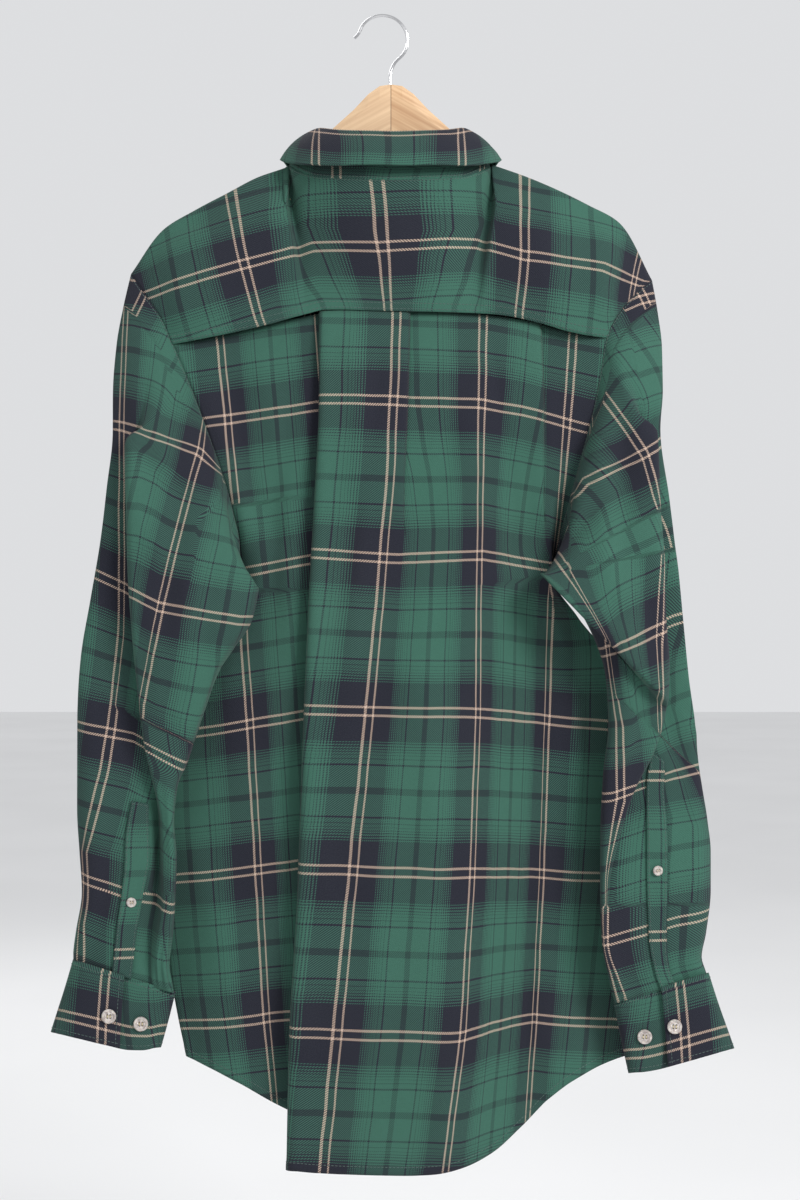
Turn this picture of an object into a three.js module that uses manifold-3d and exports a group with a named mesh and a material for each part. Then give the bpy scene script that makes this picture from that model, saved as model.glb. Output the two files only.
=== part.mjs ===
import * as THREE from "three";
import Module from "manifold-3d";

// A plaid flannel shirt on a wooden hanger, seen from its back.
// Millimetres. X runs to the right, Y from the shirt's back to its front, Z up, from the inside top of the hook.
const wasm = await Module();
wasm.setup();

const CLOTH = 1.2;
const DOUBLE_CLOTH = 2;
const GAP = 0.3;
const CENTRE = 5.6;
const GREEN = "#3f5f56";

// The tables give x and drop as they show square-on from this far away, in the plane of the hook.
const VIEW = { distance: 1550, x: 12.8, z: -466.4 };

function placed([x, y, z]) {
  const nearer = 1 + y / VIEW.distance;
  return new THREE.Vector3(VIEW.x + (x - VIEW.x) * nearer, y, VIEW.z + (z - VIEW.z) * nearer);
}

const mix = (a, b, t) => a + (b - a) * t;
const clamp = (t) => Math.min(1, Math.max(0, t));
const ease = (t) => clamp(t) ** 2 * (3 - 2 * clamp(t));
const mixPoint = (a, b, t) => a.map((value, axis) => mix(value, b[axis], t));
const steps = (count, first = 0, last = 1) =>
  Array.from({ length: count + 1 }, (unused, i) => mix(first, last, i / count));

// A table's rows, read at any key by a smooth curve that never overshoots them.
function table(names, rows) {
  const slope = (j, c) => (rows[j + 1][c] - rows[j][c]) / (rows[j + 1][0] - rows[j][0]);
  function tangent(j, c) {
    if (j === 0) return slope(0, c);
    if (j === rows.length - 1) return slope(j - 1, c);
    const before = slope(j - 1, c);
    const after = slope(j, c);
    return before * after <= 0 ? 0 : (2 * before * after) / (before + after);
  }
  return (key) => {
    let j = 0;
    while (j < rows.length - 2 && key > rows[j + 1][0]) j += 1;
    const span = rows[j + 1][0] - rows[j][0];
    const t = clamp((key - rows[j][0]) / span);
    const read = (c) =>
      (1 + 2 * t) * (1 - t) ** 2 * rows[j][c] +
      t * (1 - t) ** 2 * span * tangent(j, c) +
      t * t * (3 - 2 * t) * rows[j + 1][c] +
      t * t * (t - 1) * span * tangent(j + 1, c);
    return Object.fromEntries(names.slice(1).map((name, i) => [name, read(i + 1)]));
  };
}

// Rounds a row of points a little and keeps its ends.
function rounded(row, closed) {
  const count = row.length;
  return row.map((point, i) => {
    if (!closed && (i === 0 || i === count - 1)) return point;
    const before = row[(i + count - 1) % count];
    const after = row[(i + 1) % count];
    return point.map((value, axis) => (before[axis] + 4 * value + after[axis]) / 6);
  });
}

// The grid's normals, out of the garment where facing is 1 and the other way where it is -1.
function normalsOf(grid, closed, facing) {
  const rows = grid.length;
  const columns = grid[0].length;
  const at = (r, c) => grid[r][closed ? (c + columns) % columns : Math.min(columns - 1, Math.max(0, c))];
  return grid.map((row, r) =>
    row.map((point, c) => {
      const along = at(r, c + 1).clone().sub(at(r, c - 1));
      const down = grid[Math.min(rows - 1, r + 1)][c].clone().sub(grid[Math.max(0, r - 1)][c]);
      return along.cross(down).normalize().multiplyScalar(facing);
    }),
  );
}

// Seams where two pieces share the direction of their cloth's thickness, so that their rims face each other.
function shareRim(normalsA, pickA, normalsB, pickB, count) {
  for (let i = 0; i < count; i += 1) {
    const [rowA, columnA] = pickA(i);
    const [rowB, columnB] = pickB(i);
    const shared = normalsA[rowA][columnA].clone().add(normalsB[rowB][columnB]).normalize();
    normalsA[rowA][columnA] = shared;
    normalsB[rowB][columnB] = shared.clone();
  }
}

// Cloth as a closed wall: two skins on each side of the grid, joined by rims at its open edges.
function wall(grid, normals, thickness, closed = false) {
  const rows = grid.length;
  const columns = grid[0].length;
  const across = closed ? columns : columns - 1;
  const positions = [];
  for (const side of [0.5, -0.5])
    grid.forEach((row, r) =>
      row.forEach((point, c) =>
        positions.push(...point.clone().addScaledVector(normals[r][c], side * thickness).toArray()),
      ),
    );
  const index = [];
  const id = (skin, r, c) => skin * rows * columns + r * columns + (c % columns);
  const quad = (a, b, c, d) => index.push(a, b, c, a, c, d);
  const fromMiddle = (count) => Array.from({ length: count }, (unused, i) => (i + (count >> 1)) % count);
  for (const r of fromMiddle(rows - 1))
    for (const c of fromMiddle(across)) {
      quad(id(0, r, c), id(0, r, c + 1), id(0, r + 1, c + 1), id(0, r + 1, c));
      quad(id(1, r, c), id(1, r + 1, c), id(1, r + 1, c + 1), id(1, r, c + 1));
    }
  for (let c = 0; c < across; c += 1) {
    quad(id(0, 0, c), id(1, 0, c), id(1, 0, c + 1), id(0, 0, c + 1));
    quad(id(0, rows - 1, c), id(0, rows - 1, c + 1), id(1, rows - 1, c + 1), id(1, rows - 1, c));
  }
  if (!closed)
    for (let r = 0; r < rows - 1; r += 1) {
      quad(id(0, r, 0), id(0, r + 1, 0), id(1, r + 1, 0), id(1, r, 0));
      quad(id(0, r, columns - 1), id(1, r, columns - 1), id(1, r + 1, columns - 1), id(0, r + 1, columns - 1));
    }
  return facingOut(positions, index);
}

function facingOut(positions, index) {
  let volume = 0;
  const corner = (i) => new THREE.Vector3().fromArray(positions, 3 * i);
  for (let i = 0; i < index.length; i += 3)
    volume += corner(index[i]).dot(corner(index[i + 1]).cross(corner(index[i + 2])));
  if (volume < 0) index.reverse();
  const geometry = new THREE.BufferGeometry();
  geometry.setAttribute("position", new THREE.Float32BufferAttribute(positions, 3));
  geometry.setIndex(index);
  return geometry;
}

const shirt = new THREE.Group();

function addPiece(name, geometry, color = GREEN, roughness = 0.95, metalness = 0) {
  geometry.computeVertexNormals();
  const mesh = new THREE.Mesh(geometry, new THREE.MeshStandardMaterial({ color, roughness, metalness }));
  mesh.name = name;
  shirt.add(mesh);
  return mesh;
}

// Each edge of a piece stands back from its seam by half of the gap, and more where the seam is a sharp fold.
function drawnIn(grid, edges) {
  const result = grid.map((row) => row.map((point) => point.clone()));
  const pull = (point, inner, more = 0) => point.add(inner.clone().sub(point).setLength(GAP / 2 + more));
  const last = grid.length - 1;
  const sharpness = (c) => (edges.sharpAt ? Math.max(0, 1.5 - Math.abs(c - edges.sharpAt) / 2.5) : 0);
  if (edges.top) result[0].forEach((point, c) => pull(point, grid[1][c], CLOTH * sharpness(c)));
  const besideNeck = (c) => edges.beside?.some(([from, to]) => c >= from && c <= to);
  if (edges.bottom) result[last].forEach((point, c) => pull(point, grid[last - 1][c], besideNeck(c) ? 4 * GAP : 0));
  if (edges.left) result.forEach((row, r) => pull(row[0], grid[r][1]));
  if (edges.right) result.forEach((row, r) => pull(row[row.length - 1], grid[r][row.length - 2]));
  return result;
}

// Armholes: x and half depth by drop below the hook, from the shoulder to the underarm.
const ARMHOLE = {
  left: table(
    ["drop", "x", "depth"],
    [
      [206, -202, 0], [214, -197, 7], [223, -191, 11], [247, -175, 17], [267, -167, 18], [290, -157, 19],
      [330, -142, 19], [378, -126, 16], [414, -117, 11], [438, -114, 5], [450, -115, 0],
    ],
  ),
  right: table(
    ["drop", "x", "depth"],
    [
      [211, 214, 0], [218, 205, 8], [237, 188, 15], [253, 179, 18], [282, 174, 19],
      [314, 168, 19], [338, 162, 18], [382, 150, 15], [414, 141, 10], [436, 136, 5], [446, 134, 0],
    ],
  ),
};
const SHOULDER = { left: 206, right: 211 };
const FRONT_YOKE = { left: 238, right: 243 };
const BACK_YOKE = { left: 262, right: 257 };
const UNDERARM = { left: 450, right: 446 };
const SIDE_HEM = { left: 831, right: 829 };
const SIDE_SEAM = {
  left: table(["drop", "x"], [[450, -115], [506, -136], [574, -156], [626, -170], [674, -177], [754, -172],
    [787, -167], [831, -158]]),
  right: table(["drop", "x"], [[446, 134], [466, 142], [492, 166], [518, 181], [574, 188], [626, 191], [674, 194],
    [754, 195], [829, 199]]),
};
const YOKE_BACK_SHARES = [0, 0.36, 0.68, 0.89, 1];
const YOKE_FRONT_SHARES = [0, 0.24, 0.58, 1];
const YOKE_BACK_ROWS = YOKE_BACK_SHARES.length - 1;
const YOKE_FRONT_ROWS = YOKE_FRONT_SHARES.length - 1;
const ARMHOLE_ROWS = 7;
const FRONT_ARMHOLE_ROWS = 8;
const SIDE_ROWS = 11;

// Towards is -1 on the back of the shirt and 1 on its front.
function armholePoint(side, drop, towards) {
  const { x, depth } = ARMHOLE[side](drop);
  return [x, towards * depth, -drop];
}
const sidePoint = (side, drop, towards) => [SIDE_SEAM[side](drop).x, towards * GAP, -drop];

// Shoulder line: x and drop, from the neck to the shoulder point.
const SHOULDER_LINE = {
  left: table(["reach", "drop"], [[0, 119.5], [18, 125], [44, 138], [73, 153], [106, 174], [120, 193], [127.6, 206]]),
  right: table(["reach", "drop"], [[0, 118.5], [22, 126], [49, 137], [85, 155], [107, 169], [122, 195], [128.4, 211]]),
};
const NECK_HALF = 80;

// Collar by turn from the middle of the back: drops of the neckline, the fold and the fall's edge.
const COLLAR = table(
  ["turn", "neckline", "fold", "edge"],
  [
    [0, 129, 92.5, 118], [45, 127, 91.5, 118.5], [75, 121, 90, 116], [90, 119, 91, 115], [104, 121.5, 95, 115.5],
    [120, 135, 106, 137], [135, 150, 119, 168], [151, 167, 133, 212], [172, 182, 147, 212], [195, 187, 152, 212],
  ],
);
const NECKLINE_RING = { across: NECK_HALF, deep: 44 };
const FOLD_RING = { across: 56, deep: 35 };
const EDGE_RING = { across: 88, deep: 58 };
const YOKE_TURN = 112;

function ringPoint(ring, turn, drop, outward = 0) {
  const angle = THREE.MathUtils.degToRad(turn);
  const x = CENTRE + (ring.across + outward) * Math.sin(angle);
  return [x, -(ring.deep + outward) * Math.cos(angle), -drop];
}
const LAP = 1.9;
const lapOutward = (turn) => (-LAP * turn) / 190;
const necklinePoint = (turn) =>
  ringPoint(NECKLINE_RING, turn, COLLAR(Math.abs(turn)).neckline, lapOutward(turn));

// Back yoke seam: drop by x.
const YOKE_SEAM = table(
  ["x", "drop"],
  [
    [-169.6, 262], [-146, 257.6], [-94, 246.4], [-65, 238.4], [-43, 234], [-3, 235], [42, 236], [90, 238],
    [108, 241], [125, 245], [153, 253], [177.6, 257],
  ],
);
const YOKE_DEPTH = 24;

function frontSeamPoint(side, t) {
  const sign = side === "left" ? -1 : 1;
  const corner = necklinePoint(sign * YOKE_TURN);
  const arm = armholePoint(side, FRONT_YOKE[side], 1);
  const point = mixPoint(arm, corner, t);
  point[2] += 6 * Math.sin(Math.PI * t);
  return point;
}

// Beside the neck the yoke runs up and over the shoulder line; behind the neck it stops short of it.
const overRidge = (turn) => clamp((Math.abs(turn) - 84) / 10);

function yokeGrid() {
  const armColumns = 5;
  const neckColumns = 14;
  const columns = [];
  function armColumn(side, t) {
    const sign = side === "left" ? -1 : 1;
    const reach = mix(side === "left" ? 127.6 : 128.4, 0, t);
    const ridge = [CENTRE + sign * (NECK_HALF + reach), 0, -SHOULDER_LINE[side](reach).drop];
    const seamX = mix(ARMHOLE[side](BACK_YOKE[side]).x, CENTRE + sign * 92, t);
    const seam = [seamX, -mix(ARMHOLE[side](BACK_YOKE[side]).depth, YOKE_DEPTH, ease(3 * t)), -YOKE_SEAM(seamX).drop];
    const front = frontSeamPoint(side, t);
    return { seam, ridge, front, side, t };
  }
  for (const t of steps(armColumns)) columns.push(armColumn("left", t));
  for (const turn of steps(neckColumns, -YOKE_TURN, YOKE_TURN).slice(1, -1)) {
    const seamX = CENTRE + (92 * turn) / YOKE_TURN;
    const seam = [seamX, -YOKE_DEPTH, -YOKE_SEAM(seamX).drop];
    const top = necklinePoint(turn);
    const over = overRidge(turn);
    const side = turn < 0 ? "left" : "right";
    const ridgeTop = [CENTRE + Math.sign(turn) * (NECK_HALF + 5), 0, -SHOULDER_LINE[side](0).drop - 2.5];
    const middle = mixPoint(seam, top, 0.62);
    columns.push({ seam, ridge: mixPoint(middle, ridgeTop, over), front: top, turn });
  }
  for (const t of steps(armColumns).reverse()) columns.push(armColumn("right", t));
  const grid = [];
  for (let r = 0; r <= YOKE_BACK_ROWS + YOKE_FRONT_ROWS; r += 1)
    grid.push(columns.map((column) => yokePoint(column, r)));
  return grid;
}

function yokePoint(column, r) {
  const back = r <= YOKE_BACK_ROWS;
  const along = back ? YOKE_BACK_SHARES[r] : YOKE_FRONT_SHARES[r - YOKE_BACK_ROWS];
  const from = back ? column.seam : column.ridge;
  const to = back ? column.ridge : column.front;
  const point = mixPoint(from, to, along);
  const bend = Math.sin(Math.PI * along);
  if (column.side && column.t === 0) {
    const drop = back
      ? mix(BACK_YOKE[column.side], SHOULDER[column.side], along)
      : mix(SHOULDER[column.side], FRONT_YOKE[column.side], along);
    return armholePoint(column.side, drop, back ? -1 : 1);
  }
  const ridged = column.side ? 1 : overRidge(column.turn);
  const share = Math.min(1, Math.hypot(to[0] - from[0], to[1] - from[1], to[2] - from[2]) / 38);
  point[1] += (back ? -13 : 7) * bend * ridged * share;
  point[2] += (back ? 9 : 5) * bend * ridged * share;
  return point;
}

// Back panel by f, from the yoke seam to the hem: the left fold's edge and overlap, the depths of the panels on
// each side of it, how far the two smaller pleats have opened out, and the depth of the right side.
const BACK = table(
  ["f", "foldX", "overlap", "leftY", "centreY", "pleatOpen", "pleatX", "rightX", "rightOpen", "rightY"],
  [
    [0, -50, 26, -15, -23.5, 0, 19, 124, 0, -20],
    [0.1, -50, 29, -14, -27, 0.1, 18, 127, 0.2, -19],
    [0.2, -53, 34, -13, -31, 0.5, 17, 128, 0.6, -16],
    [0.33, -58, 42, -13, -34, 1, 15, 128, 1, -14],
    [0.5, -63, 55, -13, -37, 1, 11, 126, 1, -13],
    [0.7, -68, 70, -13, -38, 1, 7, 124, 1, -13],
    [0.85, -74, 80, -14, -39, 1, 4, 123, 1, -14],
    [1, -76, 86, -14, -39, 1, 2, 122, 1, -14],
  ],
);
const BACK_HEM = table(
  ["across", "drop"],
  [
    [0, 831], [0.04, 841], [0.09, 855], [0.13, 870], [0.16, 876], [0.32, 915], [0.48, 922], [0.58, 926],
    [0.7, 927], [0.76, 919], [0.79, 912], [0.84, 886], [0.89, 858], [0.95, 838], [1, 829],
  ],
);

// One fold across the cloth: out to its edge, back under by the overlap, and on. As it opens it becomes a ramp.
function foldPoints({ x, overlap, before, after, rightOver, open, spread }) {
  const sign = rightOver ? 1 : -1;
  const middle = (before + after) / 2;
  const turnIn = 2.5;
  const near = rightOver ? x + overlap : x;
  const far = rightOver ? x : x - overlap;
  const folded = [
    [near - sign * 0.5 * overlap * (rightOver ? 1 : -1), before],
    [near, before],
    [near + turnIn, (before + middle) / 2],
    [near, middle],
    [far, middle],
    [far - turnIn, (middle + after) / 2],
    [far, after],
  ];
  return folded.map(([foldedX, foldedY], i) => {
    const ramp = i / (folded.length - 1);
    const rampX = x + spread * (ramp - 0.5);
    return [mix(foldedX, rampX, open), mix(foldedY, mix(before, after, ease(ramp)), open)];
  });
}

function backSection(f, left, right) {
  const s = BACK(f);
  const leftSpan = s.foldX - left[0];
  const leftPart = [0.08, 0.24, 0.5, 0.78].map((t) => [
    left[0] + leftSpan * t,
    mix(left[1], s.leftY, ease(t / 0.3)) - 2.5 * Math.sin(9 * t + 3 * f) * ease(f * 4),
  ]);
  const mainFold = foldPoints({
    x: s.foldX, overlap: s.overlap, before: s.leftY, after: s.centreY, rightOver: true, open: 0, spread: 0,
  });
  const shoulderX = 61;
  const pleat = foldPoints({
    x: s.pleatX, overlap: 16, before: s.centreY, after: s.centreY + 5.5 * (1 - s.pleatOpen), rightOver: false,
    open: s.pleatOpen, spread: 24,
  });
  const centreLeft = [0.3, 0.62].map((t) => [mix(s.foldX, s.pleatX - 12, t), s.centreY + 3 * Math.sin(5 * t) * s.pleatOpen]);
  const afterPleat = s.centreY + 4 * (1 - s.pleatOpen);
  const rampStart = mix(s.centreY, s.rightY, 0.1);
  const centreRight = [
    [mix(s.pleatX + 12, shoulderX, 0.5), afterPleat],
    [shoulderX, mix(afterPleat, rampStart, s.rightOpen)],
    [shoulderX + 24, mix(afterPleat, mix(s.centreY, s.rightY, 0.55), s.rightOpen)],
  ];
  const rightBefore = mix(afterPleat, s.rightY, s.rightOpen);
  const rightPleat = foldPoints({
    x: s.rightX, overlap: 14, before: rightBefore, after: rightBefore + 5.5 * (1 - s.rightOpen), rightOver: false,
    open: s.rightOpen, spread: 16,
  });
  const rightSpan = right[0] - s.rightX;
  const rightPart = [0.35, 0.68, 0.9].map((t) => [
    s.rightX + rightSpan * t,
    mix(rightPleat[6][1], right[1], ease((t - 0.35) / 0.65)) - 2 * Math.sin(6 * t) * s.rightOpen,
  ]);
  return [left, ...leftPart, ...mainFold, ...centreLeft, ...pleat, ...centreRight, ...rightPleat, ...rightPart, right];
}

function sideRows(side, topDrop, armRows, towards) {
  const points = [];
  for (let r = 0; r < armRows; r += 1)
    points.push(armholePoint(side, mix(topDrop, UNDERARM[side], r / armRows), towards));
  for (let r = 0; r <= SIDE_ROWS; r += 1)
    points.push(sidePoint(side, mix(UNDERARM[side], SIDE_HEM[side], r / SIDE_ROWS), towards));
  return points;
}

function backGrid() {
  const left = sideRows("left", BACK_YOKE.left, ARMHOLE_ROWS, -1);
  const right = sideRows("right", BACK_YOKE.right, ARMHOLE_ROWS, -1);
  const rowAt = (r) => {
    const f = (-left[r][2] - BACK_YOKE.left) / (SIDE_HEM.left - BACK_YOKE.left);
    return { f, points: backSection(f, left[r], right[r]) };
  };
  const top = rowAt(0).points;
  const hem = rowAt(left.length - 1).points;
  const reached = [0];
  for (let c = 1; c < hem.length; c += 1)
    reached.push(reached[c - 1] + Math.hypot(hem[c][0] - hem[c - 1][0], hem[c][1] - hem[c - 1][1]));
  const width = reached[reached.length - 1];
  return left.map((unused, r) => {
    const { f, points } = rowAt(r);
    const row = points.map(([x, y], c) => {
      if (c === 0) return left[r];
      if (c === points.length - 1) return right[r];
      const seamDrop = YOKE_SEAM(top[c][0]).drop + 0.5;
      return [x, y, -mix(seamDrop, BACK_HEM(reached[c] / width).drop, f)];
    });
    return rounded(row, false);
  });
}

// Fronts: from the side to the middle, blended between their four edges.
const FRONT_EDGE = table(["f", "y"], [[0, 46], [0.06, 42.5], [0.15, 38], [0.3, 33], [1, 31]]);
const FRONT_HEM = table(["across", "drop"], [[0, 831], [0.15, 838], [0.4, 862], [0.65, 878], [1, 880]]);
const FRONT_COLUMNS = { seam: 3, neck: 6 };
const HALF_OVERLAP = 16;

function frontGrid(side) {
  const sign = side === "left" ? -1 : 1;
  const under = side === "left" ? 0 : -5.3;
  const edgeX = CENTRE - sign * HALF_OVERLAP;
  const sideEdge = sideRows(side, FRONT_YOKE[side], FRONT_ARMHOLE_ROWS, 1);
  const lastTurn = 180 + THREE.MathUtils.radToDeg(Math.asin(HALF_OVERLAP / NECK_HALF));
  const top = [
    ...steps(FRONT_COLUMNS.seam).map((t) => frontSeamPoint(side, t)),
    ...steps(FRONT_COLUMNS.neck, YOKE_TURN, lastTurn).slice(1).map((turn) => necklinePoint(sign * turn)),
  ];
  const last = top.length - 1;
  const topDrop = FRONT_YOKE[side];
  return sideEdge.map((sidePlace, r) => {
    const f = (-sidePlace[2] - topDrop) / (SIDE_HEM[side] - topDrop);
    const hemDrop = FRONT_HEM(1).drop;
    const middle = [edgeX, FRONT_EDGE(f).y + under, -mix(-top[last][2], hemDrop, f)];
    const middleTop = top[last];
    const sideTop = sideEdge[0];
    const sideHem = sideEdge[sideEdge.length - 1];
    const middleHem = [edgeX, FRONT_EDGE(1).y + under, -hemDrop];
    return top.map((topPoint, c) => {
      const u = c / last;
      if (c === 0) return sidePlace;
      const hemPoint = [
        mix(sideHem[0], edgeX, u),
        (FRONT_EDGE(1).y + under) * ease(Math.min(1, u * 2.2)),
        -FRONT_HEM(u).drop,
      ];
      const middlePoint = r === 0 ? middleTop : middle;
      const point = topPoint.map((value, axis) => {
        const ruled = mix(value, hemPoint[axis], f) + mix(sidePlace[axis], middlePoint[axis], u);
        const corners = mix(mix(sideTop[axis], middleTop[axis], u), mix(sideHem[axis], middleHem[axis], u), f);
        return ruled - corners;
      });
      const wave = Math.sin(Math.PI * u) * ease(f * 3) * (1 - ease((u - 0.5) / 0.3));
      point[1] += wave * (3.5 * Math.sin(9 * u + 2 * f) - 1.5);
      return point;
    });
  });
}

// Sleeves, ring by ring from the armhole to the cuff. Each ring runs from its outer end, across the layer behind,
// into the long valley and out over the near layer to its inner end, then back along the far side.
const RING_COLUMNS = ["outerDrop", "outerX", "valleyX", "nearX", "innerX", "innerDrop", "behindY", "returnY", "nearY", "farY"];
const RINGS = {
  left: [
    [330, -217, -197, -206, -99, 459, -30, -38, -50, -23],
    [376, -222, -191, -206, -105, 485, -30, -42, -56, -24],
    [418, -227, -189, -206, -119, 506, -30, -43, -58, -24],
    [466, -235, -187, -203, -131, 524, -31, -43, -58, -24],
    [514, -243, -182, -198, -145, 562, -33, -44, -57, -23],
    [562, -246, -178, -192, -157, 597, -36, -44, -55, -22],
    [600, -246, -182, -184, -165, 616, -40, -38, -53, -22],
    [634, -246, -184, -178, -168, 644, -43, -32, -52, -22],
    [668, -244, -184, -177, -166, 672, -45, -29, -51, -22],
    [700, -242, -190, -177, -167, 703, -45, -29, -50, -22],
    [729, -246, -195, -181, -169, 734, -45, -31, -48, -22],
    [745, -248, -197, -184, -172, 759, -43, -35, -46, -22],
    [756, -249, -199, -184, -168, 781, -40, -38, -41, -24],
  ],
  right: [
    [330, 221, 208, 219, 127, 448, -30, -38, -48, -23],
    [384, 228, 209, 221, 126, 447, -30, -42, -56, -25],
    [432, 234, 211, 225, 125, 446, -31, -44, -60, -28],
    [482, 239, 212, 226, 124, 445, -31, -45, -64, -29],
    [528, 244, 213, 229, 124, 444, -32, -46, -67, -31],
    [566, 249, 214, 228, 124, 444, -33, -47, -69, -33],
    [584, 250, 213, 226, 148, 462, -34, -42, -56, -30],
    [602, 252, 210, 222, 177, 528, -35, -42, -54, -28],
    [620, 255, 204, 215, 179, 566, -38, -43, -53, -26],
    [642, 259, 190, 202, 175, 604, -40, -44, -53, -24],
    [668, 262, 180, 189, 173, 650, -43, -45, -52, -23],
    [699, 262, 176, 180, 173, 697, -45, -46, -50, -22],
    [732, 258, 178, 179, 175, 740, -45, -46, -48, -22],
    [752, 254, 186, 187, 181, 770, -43, -44, -45, -22],
    [767, 259, 192, 194, 185, 789, -40, -40, -41, -24],
  ],
};
const NEAR_POINTS = YOKE_BACK_ROWS + ARMHOLE_ROWS;
const FAR_POINTS = FRONT_ARMHOLE_ROWS + YOKE_FRONT_ROWS;
const CAP_RINGS = [
  { along: 0.2, lap: 6 },
  { along: 0.45, lap: 9 },
  { along: 0.72, lap: 6 },
];

function ringOf(row) {
  const r = Object.fromEntries(RING_COLUMNS.map((name, i) => [name, row[i]]));
  const outward = Math.sign(r.outerX - r.innerX);
  const dropAt = (x) => mix(r.outerDrop, r.innerDrop, (x - r.outerX) / (r.innerX - r.outerX));
  const point = (x, y) => [x, y, -dropAt(x)];
  const near = [
    point(r.outerX, mix(r.behindY, r.farY, 0.5)),
    point(mix(r.outerX, r.valleyX, 0.1), r.behindY),
    point(mix(r.outerX, r.valleyX, 0.55), r.behindY - 2),
    point(r.valleyX, mix(r.behindY, r.returnY, 0.15)),
    point(mix(r.valleyX, r.nearX, 0.5) - outward, r.returnY),
    point(r.nearX + outward, mix(r.returnY, r.nearY, 0.45)),
    point(r.nearX - outward, r.nearY),
    ...[0.3, 0.58, 0.82].map((t) => point(mix(r.nearX, r.innerX, t), r.nearY + 1.5 * Math.sin(8 * t))),
    point(mix(r.nearX, r.innerX, 0.97), mix(r.nearY, r.farY, 0.2)),
    point(r.innerX, mix(r.nearY, r.farY, 0.6)),
  ];
  const far = [0.05, 0.15, 0.28, 0.41, 0.54, 0.66, 0.78, 0.88, 0.95].map((t, i) =>
    point(mix(r.innerX, r.outerX, t), r.farY + (i === 0 ? -2 : 0)),
  );
  const last = point(mix(r.innerX, r.outerX, 0.99), mix(r.farY, r.behindY, 0.2));
  return rounded([...near, ...far, last], true);
}

function armholeRing(side) {
  const ring = [];
  for (const share of YOKE_BACK_SHARES.toReversed().slice(0, -1))
    ring.push(armholePoint(side, mix(BACK_YOKE[side], SHOULDER[side], share), -1));
  for (let i = 0; i < ARMHOLE_ROWS; i += 1)
    ring.push(armholePoint(side, mix(BACK_YOKE[side], UNDERARM[side], i / ARMHOLE_ROWS), -1));
  for (let i = 0; i < FRONT_ARMHOLE_ROWS; i += 1)
    ring.push(armholePoint(side, mix(UNDERARM[side], FRONT_YOKE[side], i / FRONT_ARMHOLE_ROWS), 1));
  for (const share of YOKE_FRONT_SHARES.toReversed().slice(0, -1))
    ring.push(armholePoint(side, mix(SHOULDER[side], FRONT_YOKE[side], share), 1));
  return ring;
}

function sleeveGrid(side) {
  const outward = side === "left" ? -1 : 1;
  const armhole = armholeRing(side);
  const lower = RINGS[side].map(ringOf);
  const cap = CAP_RINGS.map(({ along, lap }) =>
    armhole.map((point, i) => {
      const mixed = mixPoint(point, lower[0][i], along);
      const nearSide = i <= NEAR_POINTS ? Math.sin((Math.PI * i) / NEAR_POINTS) : 0;
      const low = nearSide * ease((i / NEAR_POINTS - 0.3) / 0.4) * (1 - ease((i / NEAR_POINTS - 0.7) / 0.2));
      const puff = Math.sin(Math.PI * along);
      const underarm = 12 * (1 - along) * clamp(1 - Math.abs(i - NEAR_POINTS) / 3.5);
      mixed[0] += outward * (5 * puff * (1 - ease((i % armhole.length) / 4)) - lap * low + underarm);
      mixed[1] -= 9 * puff * nearSide;
      return mixed;
    }),
  );
  return [armhole, ...cap, ...lower];
}

// Cuffs: a band wrapped round the wrist, its end lying over its start. Corners as x and drop.
const CUFFS = {
  left: { outerTop: [-249, 756.6], innerTop: [-167, 782.6], outerBottom: [-266, 812], innerBottom: [-178, 833], innerRise: 9 },
  right: { outerTop: [260, 767.2], innerTop: [184, 790.4], outerBottom: [279.5, 825], innerBottom: [195, 849], innerRise: 4 },
};
const CUFF_LOOP = [
  [0.26, -40], [0.4, -40.3], [0.55, -40.5], [0.7, -40.5], [0.84, -40], [0.95, -38], [1.0, -32], [0.97, -24],
  [0.86, -20.5], [0.7, -19.5], [0.5, -19.5], [0.3, -19.5], [0.12, -20.5], [0.02, -25], [-0.01, -33], [0.04, -41],
  [0.15, -44.5], [0.28, -45], [0.4, -45], [0.5, -44.8],
];
const CUFF_ROWS = 4;

function cuffGrid(side) {
  const c = CUFFS[side];
  return steps(CUFF_ROWS).map((down) =>
    rounded(
      CUFF_LOOP.map(([across, y], i) => {
        const shift = i === CUFF_LOOP.length - 1 ? 0.12 * down : 0;
        const along = across + shift;
        const x = mix(mix(c.outerTop[0], c.innerTop[0], along), mix(c.outerBottom[0], c.innerBottom[0], along), down);
        const drop = mix(mix(c.outerTop[1], c.innerTop[1], along), mix(c.outerBottom[1], c.innerBottom[1], along), down);
        const rise = c.innerRise * down * ease((along - 0.75) / 0.25);
        return [x, y, -drop + rise];
      }),
      false,
    ),
  );
}

const grids = { yoke: yokeGrid(), back: backGrid() };
for (const side of ["left", "right"]) {
  grids["front_" + side] = frontGrid(side);
  grids["sleeve_" + side] = sleeveGrid(side);
  grids["cuff_" + side] = cuffGrid(side);
}
const isTube = (name) => name.startsWith("sleeve");
const FACING = {
  yoke: 1, back: -1, front_left: 1, front_right: -1, sleeve_left: -1, sleeve_right: 1, cuff_left: -1, cuff_right: 1,
};
const normals = {};
for (const name of Object.keys(grids)) {
  grids[name] = grids[name].map((row) => row.map(placed));
  normals[name] = normalsOf(grids[name], isTube(name), FACING[name]);
}

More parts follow.
